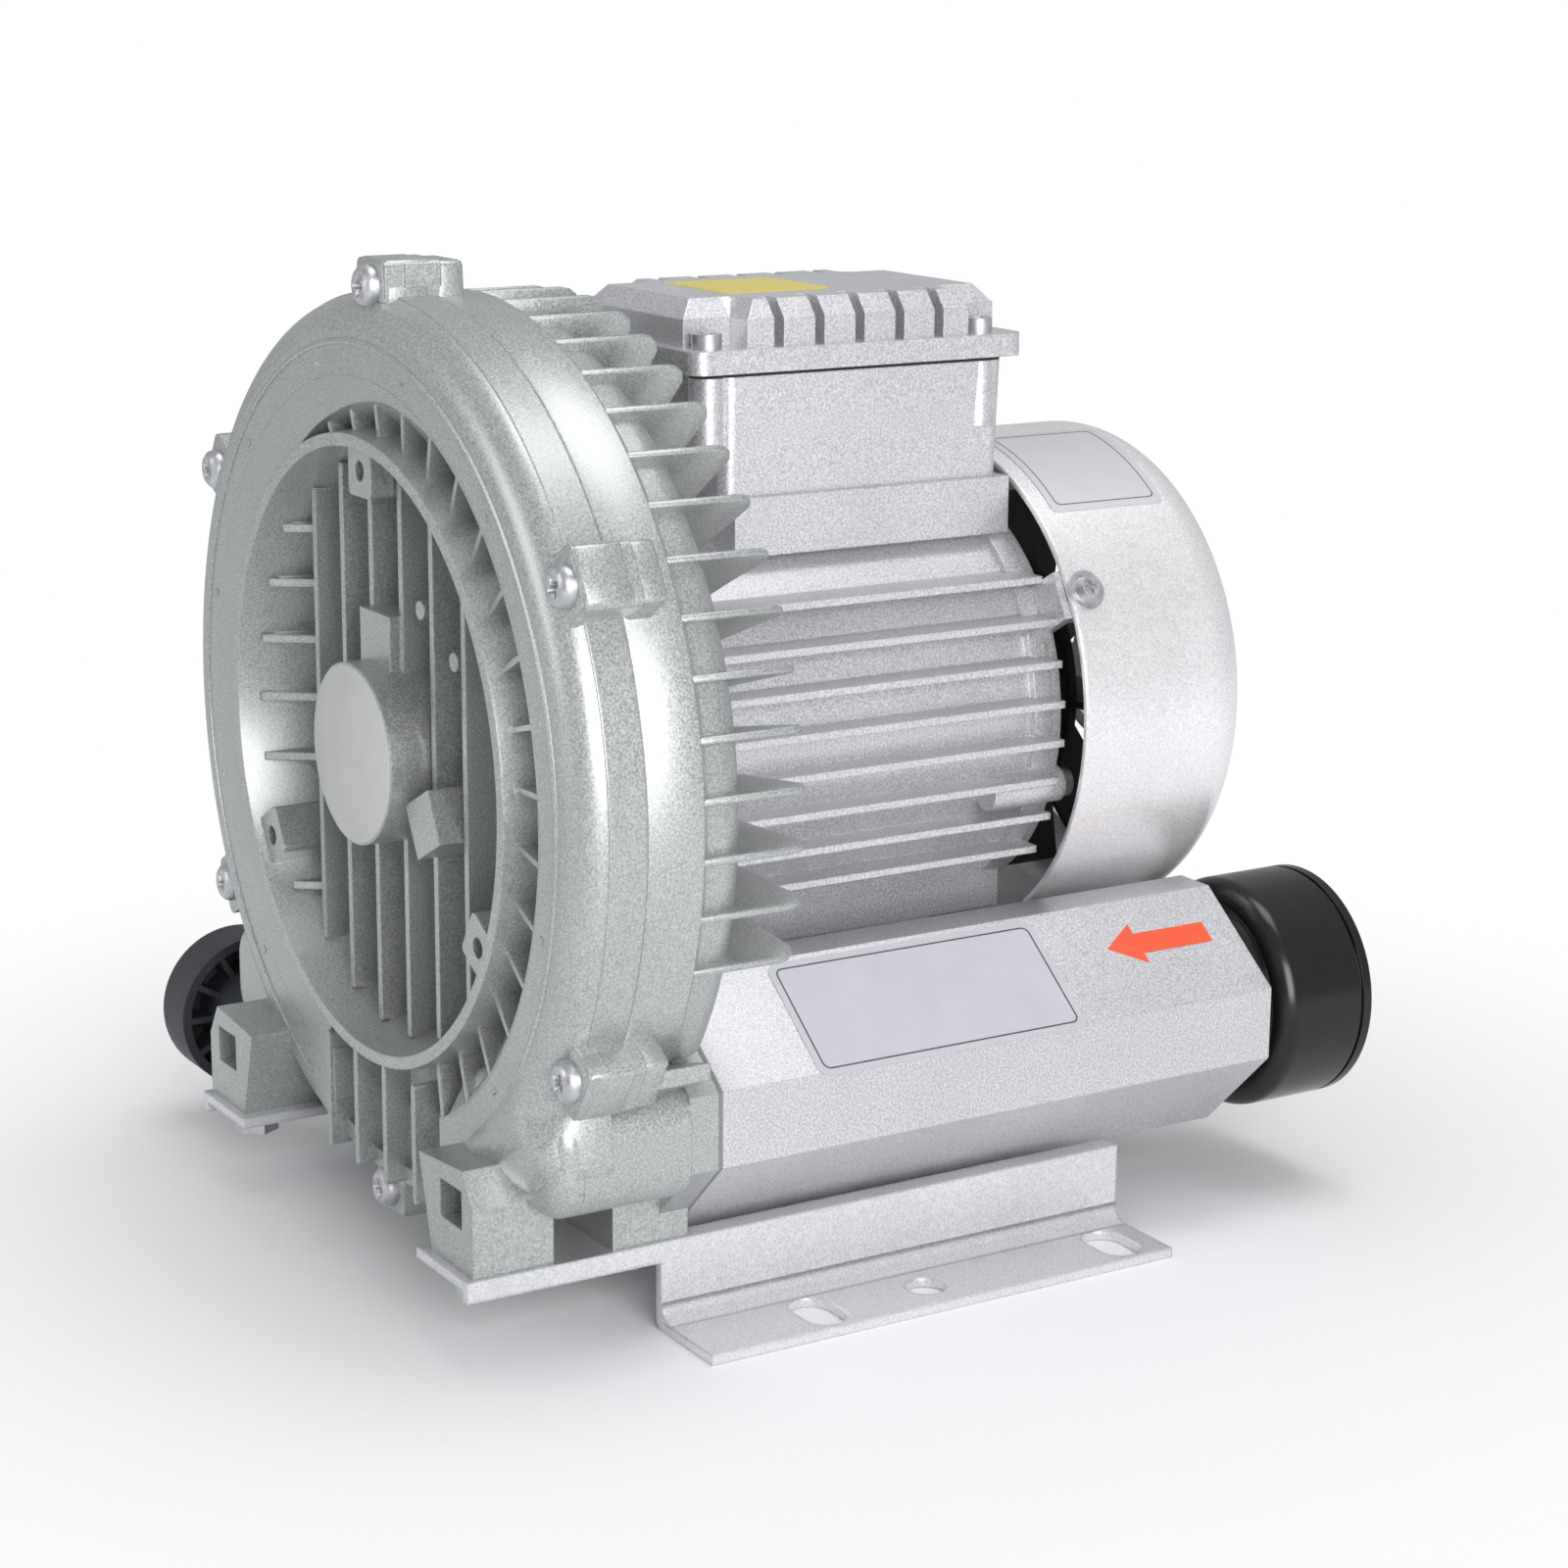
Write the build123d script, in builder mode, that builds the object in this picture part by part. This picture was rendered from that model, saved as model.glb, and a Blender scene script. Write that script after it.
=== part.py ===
from build123d import *
import os
from math import cos, radians, sin, sqrt

os.makedirs("parts", exist_ok=True)

# Side channel blower with two silencers, millimetres, +Z up
# The origin lies on the floor, at the centre of the four foot slots.
# The motor axis runs along Y. The impeller cover faces -Y and the fan cowl faces +Y.

# Where the shaft axis and the joint between cover and casing lie
AXIS_HEIGHT = 125.0
PARTING_Y = -103.0

# Fits and gaps
SLIP = 0.05
GAP = 0.4

# Impeller cover
HOUSING_R = 106.0
COVER_DEPTH = 9.0
SHOULDER = 8.5
RIM_R = 74.5
RIM_WALL = 3.0
RIM_PROUD = 2.0
RIB_GROOVE_R = 87.0
RIB_GROOVE_DEPTH = 9.0
RIB_COUNT = 36
RIB_THICK = 1.3
DISH_DEPTH = 20.5
DISH_DRAFT = 5.5
COVER_WALL = 3.5
HUB_R = 21.5
HUB_PROUD = 3.0
FIN_PITCH_X = 16.0
DISH_FIN_THICK = 2.0

# Impeller casing
BAND_R = 104.8
BAND_END = 19.0
CASING_BACK = 29.0
CASING_WEB = 3.5
CASING_FIN_STEP = 7.2
CASING_FIN_THICK = 1.6
CASING_FIN_END = 46.5
CASING_FIN_INNER_R = 83.0
MOTOR_SPIGOT_END = 46.0

# Side channel and impeller
CHANNEL_INNER_R = 88.5
CHANNEL_OUTER_R = 101.4
CHANNEL_CORNER = 5.0
CHANNEL_FRONT = 5.5
IMPELLER_BACK = 18.0
CHANNEL_REAR = 7.5
VANE_COUNT = 40
VANE_THICK = 1.5

# Flange lugs of cover and casing
SCREW_PITCH_R = 108.0
LUG_WIDTH = 15.0
LUG_TOP = 114.0
LUG_FRONT = 5.0
LUG_BACK = 11.0
SCREW_R = 2.5

# Silencers and ports
PORT_X = 57.0
PORT_DROP = 76.0
PORT_BORE_R = 12.0
SILENCER_TOP = 45.0
SILENCER_BOTTOM = 105.5
SILENCER_START = 35.5
SILENCER_END = 192.0
SILENCER_WALL = 3.0
FLANGE_START = 27.0
GASKET = 1.0

# Hose fittings
FITTING_R = 29.5
FITTING_NECK_R = 24.5
FITTING_BORE_R = 22.0
FITTING_LENGTH = 35.0
FITTING_RIM = 2.5
FITTING_GROOVE = 0.8
THREAD_R = 20.5

# Motor
FRAME_R = 50.5
FRAME_BORE_R = 46.5
FRAME_END = 150.0
FRAME_FIN_R = 58.0
FRAME_FIN_PITCH = 9.65
FRAME_FIN_OFFSET = 5.0
FRAME_FIN_THICK = 1.8
STACK_START = 70.0
STACK_LENGTH = 56.0
STATOR_BORE_R = 28.0
AIR_GAP = 0.4
END_TURN = 14.0
SHAFT_R = 7.5
ROTOR_SEAT_R = 9.5

# Ball bearings 15 x 35 x 11
BEARING_R = 17.5
BEARING_WIDTH = 11.0
FRONT_BEARING = 38.5
REAR_BEARING = 146.0

# Cowl and fan
COWL_R = 64.0
COWL_WALL = 1.2
COWL_START = 152.0
COWL_END = 205.0
COWL_CORNER = 13.0
FAN_R = 50.0
FAN_START = 166.0
FAN_WIDTH = 18.0
FAN_BLADES = 9

# Terminal box
BOX_START = 69.0
BOX_END = 149.0
BOX_HALF = 31.0
BOX_BASE = 57.5
BOX_TOP = 86.0
BOX_TAPER = 2.0
BOX_WALL = 2.5
LID_LIP = 6.5
LID_OVERHANG = 2.5
LID_HEIGHT = 17.5

# Foot rails
RAIL_THICK = 2.5
RAIL_FACE_X = 76.0
RAIL_FLANGE = 23.0
RAIL_START = 27.0
RAIL_END = 156.0
FOOT_TOP = 103.3
TONGUE_WIDTH = 26.0
TONGUE_FRONT = 22.0
SLOT_SPACING_X = 178.0
SLOT_SPACING_Y = 84.0
SLOT_LENGTH = 17.0
SLOT_WIDTH = 10.5
FOOT_BOLT_STATIONS = (-13.0, 24.0)

SPIN = Axis((0, 0, AXIS_HEIGHT), (0, 1, 0))
AXIAL = Plane(origin=(0, PARTING_Y, AXIS_HEIGHT), x_dir=(1, 0, 0), z_dir=(0, 0, 1))


def section(station):
    """Plane across the shaft, seen from the front: local x is X, local y is Z."""
    return Plane(origin=(0, PARTING_Y + station, AXIS_HEIGHT), x_dir=(1, 0, 0), z_dir=(0, -1, 0))


def level(height):
    """Horizontal plane at a height above the shaft axis, local y runs to the rear."""
    return Plane(origin=(0, PARTING_Y, AXIS_HEIGHT + height), x_dir=(1, 0, 0), z_dir=(0, 0, 1))


def radial(angle):
    """Plane through the shaft axis: local x runs outward, local y runs to the rear."""
    turn = radians(angle)
    return Plane(
        origin=(0, PARTING_Y, AXIS_HEIGHT), x_dir=(cos(turn), 0, sin(turn)), z_dir=(-sin(turn), 0, cos(turn))
    )


def polar(radius, angle):
    """Point in a cross-section plane."""
    return radius * cos(radians(angle)), radius * sin(radians(angle))


def save(piece, label):
    """Label a finished piece and write its file."""
    piece.part.label = label
    export_step(piece.part, "parts/" + label + ".step")


def turned(points, mode=Mode.ADD):
    """Turn a closed outline of (radius, station) points about the shaft axis."""
    with BuildSketch(AXIAL) as outline:
        with BuildLine():
            Polyline(points, close=True)
        make_face()
    revolve(outline.sketch, axis=SPIN, mode=mode)


def ring(inner, outer, start, end, mode=Mode.ADD):
    """Plain ring about the shaft axis."""
    with BuildSketch(section(start)) as outline:
        Circle(outer)
        Circle(inner, mode=Mode.SUBTRACT)
    extrude(outline.sketch, amount=start - end, mode=mode)


# Port humps, stripper and small cover details
HUMP_X = 67.0
HUMP_WIDTH = 46.0
HUMP_HEIGHT = 28.0
HUMP_CORNER = 10.0
HUMP_DEPTH = 7.0
STRIPPER_HALF = 40.0
RECESS_HALF = 36.0
BOTTOM_BAND = 3.5
BOTTOM_RIB_END = 104.0
RIB_FREE_ANGLE = 24.0
DISH_FIN_FRONT = -3.0
GUSSET_PITCH = 15.0
GUSSET_REACH = 11.0
POST_R = 2.2
RIM_BOSS_R = 66.0
RIM_BOSS = 12.0
BOSS_HOLE_R = 2.4
BOSS_HOLE_DEPTH = 10.0
HUB_POCKET_R = 14.0
FOOT_BLOCK_DEPTH = 20.0
FOOT_POCKET = 8.0
FOOT_BOLT_R = 3.0
FOOT_BOLT_INSET = 12.0
FOOT_BOLT_DEPTH = 14.0

# Impeller, shaft and seal details
POCKET_R = 24.0
SEAL_START = 29.5
SEAL_WIDTH = 6.5
SEAL_R = 15.0
HUB_START = 14.3
IMPELLER_HUB_R = 20.0
RING_FRONT = 4.5
SHAFT_FRONT_R = 7.0
KEY_WIDTH = 4.0
KEY_PROUD = 1.8
KEY_LENGTH = 10.0
BOLT_R = 3.0
WASHER_R = 9.0
WASHER_THICK = 2.0
FAN_SEAT_R = 6.0

# Casing fins, by index of the angle step, and the screws of the silencers
FIN_FIRST = -3
FIN_LAST = 28
SILENCER_SCREW_LENGTH = 9.0
CASING_PAD_START = 15.0
SIDE_BOSS_DEPTH = 19.0

# Bearing, motor and cowl details
SHIELD_R = 11.2
BALL_PITCH_R = 12.6
BALL_R = 1.6
BALL_COUNT = 12
SLOT_COUNT = 24
BAR_COUNT = 22
BAR_R = 1.6
END_SCREW_R = 53.0
END_SCREW_ANGLE = -18.0
COWL_SCREW_ANGLE = 30.0
COWL_SCREW_STATION = 156.5
GRILLE_RINGS = 5
GRILLE_INNER_R = 13.0
GRILLE_PITCH = 8.0
GRILLE_SLOT = 4.5

# Lid, gland, fitting, rail and cap details
LID_START = 60.0
LID_END = 153.0
LID_RISE_HALF = 23.3
LID_RIB_LENGTH = 62.0
LID_CHAMFER = 4.4
LID_TAPER = 40.0
LID_GROOVES = 5
LID_GROOVE_PITCH = 11.2
GLAND_R = 10.0
GLAND_HEX_R = 13.0
GLAND_HEIGHT = 72.0
GLAND_SEAT = 0.3
FITTING_STUB_BORE_R = 17.0
MIDDLE_HOLE_R = 5.0
CAP_R = 20.8
CAP_BAND = 14.0
CAP_STAND = 14.0
CAP_NECK_R = 12.5
CAP_STATION = 7.0
CAP_DROP = 96.0

# Outline of a front foot, from the inner top corner clockwise, as seen on the right side
FOOT_BLOCK_OUTLINE = (
    (RAIL_FACE_X - 28, -FOOT_TOP + 22),
    (RAIL_FACE_X - 6, -FOOT_TOP + 24),
    (RAIL_FACE_X - 1, -FOOT_TOP + 16),
    (RAIL_FACE_X - 1, -FOOT_TOP),
    (RAIL_FACE_X - TONGUE_WIDTH + 4, -FOOT_TOP),
)

# Flange for the silencer, rib beside the port chamber and pad over the foot rail, right side
FLANGE_OUTLINE = (
    (RAIL_FACE_X + 13, -83),
    (RAIL_FACE_X + 13, -65),
    (PORT_X + 6, -SILENCER_TOP),
    (PORT_X - 5, -SILENCER_TOP),
    (25, -66),
    (25, -83),
    (45, 0.8 - FOOT_TOP),
    (69, 0.8 - FOOT_TOP),
)
CHAMBER_RIB = ((84, -64), (98, -58), (98, -54), (84, -58))
CASING_PAD_OUTLINE = (
    (RAIL_FACE_X - 26, -FOOT_TOP),
    (RAIL_FACE_X - 1, -FOOT_TOP),
    (RAIL_FACE_X - 1, -FOOT_TOP + 18),
    (RAIL_FACE_X - 26, -FOOT_TOP + 18),
)
SIDE_BOSS_OUTLINE = (
    (RAIL_FACE_X + 0.8, -FOOT_TOP),
    (RAIL_FACE_X + 20, -FOOT_TOP),
    (RAIL_FACE_X + 20, -84),
    (RAIL_FACE_X + 12, -70),
    (RAIL_FACE_X + 0.8, -70),
)


def cowl_screw_plane(angle):
    """Plane on the cowl skin at a screw, facing outward."""
    x, z = polar(COWL_R, angle)
    return Plane(
        origin=(x, PARTING_Y + COWL_SCREW_STATION, AXIS_HEIGHT + z), x_dir=(0, 1, 0), z_dir=(x, 0, z)
    )


# Stations that follow from the sizes above
FACE = -COVER_DEPTH
RIM_FACE = FACE - RIM_PROUD
HUB_FACE = RIM_FACE - HUB_PROUD / 2
GROOVE_FLOOR = FACE + RIB_GROOVE_DEPTH
LAND = GROOVE_FLOOR + COVER_WALL
DISH_FLOOR = RIM_FACE + DISH_DEPTH
DISH_BACK = DISH_FLOOR + COVER_WALL
RIM_INNER_R = RIM_R - RIM_WALL
FACE_OUTER_R = HOUSING_R - SHOULDER
FAN_END = FAN_START + FAN_WIDTH
LAND_R = CHANNEL_INNER_R - 1
TAB_R = COWL_R - COWL_WALL - 0.35
PORT_SIDES = (1, -1)
PORT_CENTRES = tuple((side * PORT_X, -PORT_DROP) for side in PORT_SIDES)
SILENCER_SCREW_POINTS = tuple(
    (side * (PORT_X + x), z) for side in PORT_SIDES for x, z in ((-17, -67), (17, -67), (0, -94))
)
FITTING_RIM_START = SILENCER_END + FITTING_LENGTH - FITTING_RIM
SHIELD_POCKET_END = REAR_BEARING + BEARING_WIDTH + 1
SLOT_MIDDLE = -PARTING_Y
BOX_MIDDLE = (BOX_START + BOX_END) / 2
LID_SCREW_POINTS = tuple((side * 27.2, station) for side in PORT_SIDES for station in (67, BOX_END - 6))
BOX_SCREW_STATIONS = (BOX_START + 10, BOX_END - 16)
BOX_SCREW_POINTS = tuple((side * 20, station) for side in PORT_SIDES for station in BOX_SCREW_STATIONS)
COWL_SCREW_PLANES = tuple(cowl_screw_plane(COWL_SCREW_ANGLE + 120 * step) for step in range(3))
GLAND_PLANE = Plane(
    origin=(-BOX_HALF, PARTING_Y + BOX_MIDDLE, AXIS_HEIGHT + GLAND_HEIGHT), x_dir=(0, 1, 0), z_dir=(-1, 0, 0)
)
CAP_PLANE = Plane(
    origin=(-RAIL_FACE_X - 20 - CAP_STAND, PARTING_Y + CAP_STATION, AXIS_HEIGHT - CAP_DROP),
    x_dir=(0, 1, 0),
    z_dir=(-1, 0, 0),
)
FOOT_BOLT_POINTS = tuple(
    (side * (RAIL_FACE_X - FOOT_BOLT_INSET), station)
    for side in PORT_SIDES
    for station in FOOT_BOLT_STATIONS
)

# Silencer section and folded rail section, right side
SILENCER_OUTLINE = (
    (RAIL_FACE_X + 13, -83),
    (RAIL_FACE_X + 13, -65),
    (PORT_X + 6, -SILENCER_TOP),
    (PORT_X - 5, -SILENCER_TOP),
    (25, -66),
    (25, -83),
    (48, -SILENCER_BOTTOM),
    (66, -SILENCER_BOTTOM),
)
RAIL_OUTLINE = (
    (RAIL_FACE_X, -FOOT_TOP),
    (RAIL_FACE_X - RAIL_THICK, -FOOT_TOP),
    (RAIL_FACE_X - RAIL_THICK, 2 - AXIS_HEIGHT),
    (RAIL_FACE_X - RAIL_THICK + 0.6, 0.6 - AXIS_HEIGHT),
    (RAIL_FACE_X - RAIL_THICK + 2, -AXIS_HEIGHT),
    (RAIL_FACE_X + RAIL_FLANGE, -AXIS_HEIGHT),
    (RAIL_FACE_X + RAIL_FLANGE, RAIL_THICK - AXIS_HEIGHT),
    (RAIL_FACE_X + 1, RAIL_THICK - AXIS_HEIGHT),
    (RAIL_FACE_X, RAIL_THICK + 1 - AXIS_HEIGHT),
)
LUG_ANGLES = tuple(30 + 60 * step for step in range(6))


def mirrored(side, points):
    """Points of the right-hand side, or their mirror image for side -1, in anticlockwise order."""
    flipped = [(side * x, y) for x, y in points]
    return flipped if side > 0 else flipped[::-1]


def lug_outline(angle):
    """Squared lug that carries one cover screw, reaching in to the housing."""
    inner = HOUSING_R - 4
    with Locations(Location(polar((inner + LUG_TOP) / 2, angle), angle)):
        RectangleRounded(LUG_TOP - inner, LUG_WIDTH, 2)


def stripper_zone(outer, inner, half_width):
    """Part of a ring at the bottom, between two upright lines."""
    Circle(outer)
    Circle(inner, mode=Mode.SUBTRACT)
    with Locations((0, -outer)):
        Rectangle(2 * half_width, outer, mode=Mode.INTERSECT)


def hump_outlines():
    """Rounded outlines of both port humps in a cross-section plane."""
    with Locations(*[(side * HUMP_X, -PORT_DROP) for side in PORT_SIDES]):
        RectangleRounded(HUMP_WIDTH, HUMP_HEIGHT, HUMP_CORNER)


def channel_profile(floor, mouth):
    """Half of the side channel: square at the mouth, rounded at the floor."""
    turn = CHANNEL_CORNER if floor > mouth else -CHANNEL_CORNER
    with BuildSketch(AXIAL) as outline:
        with BuildLine():
            Polyline(
                (CHANNEL_INNER_R, floor - turn),
                (CHANNEL_INNER_R, mouth),
                (CHANNEL_OUTER_R, mouth),
                (CHANNEL_OUTER_R, floor - turn),
            )
            TangentArc(
                (CHANNEL_OUTER_R, floor - turn),
                (CHANNEL_OUTER_R - CHANNEL_CORNER, floor),
                tangent=(0, turn),
            )
            Line((CHANNEL_OUTER_R - CHANNEL_CORNER, floor), (CHANNEL_INNER_R + CHANNEL_CORNER, floor))
            TangentArc(
                (CHANNEL_INNER_R + CHANNEL_CORNER, floor), (CHANNEL_INNER_R, floor - turn), tangent=(-1, 0)
            )
        make_face()
    return outline.sketch


def screws(plane, points, toward, radius, length, head_radius, head_height, socket=0.0):
    """Screws on a plane. The heads stand on the side that toward points to (1 or -1)."""
    with BuildSketch(plane) as heads:
        with Locations(*points):
            if socket:
                Circle(head_radius)
            else:
                RegularPolygon(head_radius, 6)
    extrude(heads.sketch, amount=toward * head_height)
    with BuildSketch(plane) as shanks:
        with Locations(*points):
            Circle(radius)
    extrude(shanks.sketch, amount=-toward * length)
    if socket:
        with BuildSketch(plane.offset(toward * head_height)) as sockets:
            with Locations(*points):
                RegularPolygon(socket, 6)
        extrude(sockets.sketch, amount=-toward * head_height * 0.6, mode=Mode.SUBTRACT)


def rings(plane, points, inner, outer, height):
    """Washers or plain bushes on a plane."""
    with BuildSketch(plane) as washers:
        with Locations(*points):
            Circle(outer)
            Circle(inner, mode=Mode.SUBTRACT)
    extrude(washers.sketch, amount=height)


def around(radius, count, start):
    """Evenly spaced points on a circle."""
    return [polar(radius, start + 360 / count * step) for step in range(count)]


def foot_bolt_holes(station):
    """Upright holes through the feet or the rails at one station."""
    with BuildSketch(level(-FOOT_TOP - 2 * RAIL_THICK)) as holes:
        with Locations(*[(side * (RAIL_FACE_X - FOOT_BOLT_INSET), station) for side in PORT_SIDES]):
            Circle(FOOT_BOLT_R + 0.3)
    extrude(holes.sketch, amount=FOOT_BOLT_DEPTH, mode=Mode.SUBTRACT)


# Port humps of the cover, rounded at the front
with BuildPart() as port_humps:
    with BuildSketch(section(0)):
        hump_outlines()
    extrude(amount=HUMP_DEPTH)
    fillet(port_humps.faces().sort_by(Axis.Y)[:2].edges(), HUMP_DEPTH * 0.7)

# Impeller cover: dished plate with the front half of the side channel
with BuildPart() as impeller_cover:
    with BuildSketch(AXIAL):
        with BuildLine():
            Polyline(
                (0, DISH_BACK),
                (0, DISH_FLOOR),
                (RIM_INNER_R - DISH_DRAFT, DISH_FLOOR),
                (RIM_INNER_R, RIM_FACE),
                (RIM_R, RIM_FACE),
                (RIM_R + 1, GROOVE_FLOOR),
                (RIB_GROOVE_R - 2, GROOVE_FLOOR),
                (RIB_GROOVE_R, FACE),
                (FACE_OUTER_R, FACE),
            )
            TangentArc((FACE_OUTER_R, FACE), (HOUSING_R, FACE + SHOULDER), tangent=(1, 0))
            Polyline(
                (HOUSING_R, FACE + SHOULDER),
                (HOUSING_R, 0),
                (LAND_R, 0),
                (LAND_R, LAND),
                (RIM_INNER_R + 1, LAND),
                (RIM_INNER_R - DISH_DRAFT + COVER_WALL, DISH_BACK),
                (0, DISH_BACK),
            )
        make_face()
    revolve(axis=SPIN)
    add(port_humps.part)
    # Lugs for the cover screws
    with BuildSketch(section(-LUG_FRONT)):
        for angle in LUG_ANGLES:
            lug_outline(angle)
    extrude(amount=-LUG_FRONT)
    # Front feet with cored pockets
    with BuildSketch(section(-FOOT_BLOCK_DEPTH)):
        for side in PORT_SIDES:
            Polygon(*mirrored(side, FOOT_BLOCK_OUTLINE), align=None)
    extrude(amount=-FOOT_BLOCK_DEPTH)
    with BuildSketch(section(-FOOT_BLOCK_DEPTH)):
        with Locations(*[(side * (RAIL_FACE_X - 12), 14.5 - FOOT_TOP) for side in PORT_SIDES]):
            Rectangle(11, 9)
    extrude(amount=-FOOT_POCKET, mode=Mode.SUBTRACT)
    # Front half of the side channel
    revolve(channel_profile(-CHANNEL_FRONT, 0), axis=SPIN, mode=Mode.SUBTRACT)
    # Stripper wall that parts inlet from outlet at the bottom
    with BuildSketch(section(-CHANNEL_FRONT)):
        stripper_zone(CHANNEL_OUTER_R, CHANNEL_INNER_R - 1, STRIPPER_HALF)
    extrude(amount=-CHANNEL_FRONT)
    # Recess in front of the stripper
    with BuildSketch(section(FACE)):
        stripper_zone(HOUSING_R - BOTTOM_BAND, RIB_GROOVE_R - 3, RECESS_HALF)
    extrude(amount=FACE + COVER_WALL, mode=Mode.SUBTRACT)
    with BuildSketch(section(FACE)):
        stripper_zone(HOUSING_R + 1, HOUSING_R - BOTTOM_BAND - 1, RECESS_HALF)
    extrude(amount=-BOTTOM_BAND, mode=Mode.SUBTRACT)
    # Spot faces under the screw heads
    with BuildSketch(section(-LUG_FRONT)):
        with Locations(*around(SCREW_PITCH_R, 6, 30)):
            Circle(SCREW_R + 2.1)
    extrude(amount=COVER_DEPTH, mode=Mode.SUBTRACT)
    # Upright ribs below the rim
    for column in range(-2, 2):
        x = FIN_PITCH_X * (column + 0.5)
        with BuildSketch(section(FACE - RIM_PROUD / 2)):
            with Locations((x, -(RIM_R + BOTTOM_RIB_END) / 2)):
                RectangleRounded(DISH_FIN_THICK, BOTTOM_RIB_END - RIM_R, DISH_FIN_THICK * 0.45)
        extrude(amount=FACE - RIM_PROUD / 2 + COVER_WALL)
    # Radial ribs between rim and channel
    rib_angles = [360 / RIB_COUNT * (index + 0.5) for index in range(RIB_COUNT)]
    with BuildSketch(*[radial(angle) for angle in rib_angles if abs(angle - 270) > RIB_FREE_ANGLE]):
        Polygon(
            (RIM_R - 1, RIM_FACE + 4),
            (RIB_GROOVE_R + 0.5, FACE + 0.3),
            (RIB_GROOVE_R + 0.5, GROOVE_FLOOR + 0.5),
            (RIM_R - 1, GROOVE_FLOOR + 0.5),
            align=None,
        )
    extrude(amount=RIB_THICK / 2, both=True)
    # Upright cooling fins across the dish
    for column in range(-3, 3):
        x = FIN_PITCH_X * (column + 0.5)
        half = sqrt((RIM_INNER_R - DISH_DRAFT / 2) ** 2 - x**2)
        with BuildSketch(section(DISH_FIN_FRONT)):
            with Locations((x, 0)):
                Rectangle(DISH_FIN_THICK, 2 * half)
        extrude(amount=DISH_FIN_FRONT - DISH_FLOOR - 0.5)
    # Gussets on the side walls of the dish
    for side in PORT_SIDES:
        for row in range(-3, 4):
            z = GUSSET_PITCH * row
            wall = sqrt((RIM_INNER_R - DISH_DRAFT / 2) ** 2 - z**2)
            with BuildSketch(level(z)):
                Polygon(
                    (side * wall, RIM_FACE + 5),
                    (side * wall, DISH_FLOOR + 0.5),
                    (side * (wall - GUSSET_REACH), DISH_FLOOR + 0.5),
                    align=None,
                )
            extrude(amount=DISH_FIN_THICK / 2, both=True)
    # Hub boss, with the block and the turned pad beside it
    with BuildSketch(section(HUB_FACE)):
        Circle(HUB_R)
    extrude(amount=HUB_FACE - DISH_FLOOR - 0.5, taper=-1)
    with BuildSketch(section(FACE + 3)):
        with Locations((0, HUB_R + 4)):
            Rectangle(FIN_PITCH_X, 15)
    extrude(amount=FACE + 3 - DISH_FLOOR - 0.5)
    with BuildSketch(section(FACE)):
        with Locations(Location((30, -11), 28)):
            Rectangle(13, 13)
    extrude(amount=FACE - DISH_FLOOR - 0.5)
    with BuildSketch(section(FACE + 6)):
        with Locations((18, 36), (35, 27)):
            Circle(POST_R)
    extrude(amount=FACE + 6 - DISH_FLOOR - 0.5)
    # Square bosses inside the rim
    for angle in (90, 210, 330):
        with BuildSketch(section(FACE)):
            with Locations(Location(polar(RIM_BOSS_R, angle), angle - 90)):
                RectangleRounded(RIM_BOSS, RIM_BOSS, 1.5)
        extrude(amount=FACE - LAND)
    # Hollow behind the hub for the impeller nut, and every screw hole
    with BuildSketch(section(DISH_BACK)):
        Circle(HUB_POCKET_R)
    extrude(amount=DISH_BACK - HUB_FACE - COVER_WALL, mode=Mode.SUBTRACT)
    with BuildSketch(section(FACE)):
        with PolarLocations(RIM_BOSS_R, 3, start_angle=90):
            Circle(BOSS_HOLE_R)
    extrude(amount=-BOSS_HOLE_DEPTH, mode=Mode.SUBTRACT)
    with BuildSketch(section(FACE)):
        with PolarLocations(SCREW_PITCH_R, 6, start_angle=30):
            Circle(SCREW_R + 0.25)
    extrude(amount=FACE, mode=Mode.SUBTRACT)
    foot_bolt_holes(FOOT_BOLT_STATIONS[0])
save(impeller_cover, "impeller_cover")

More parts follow.
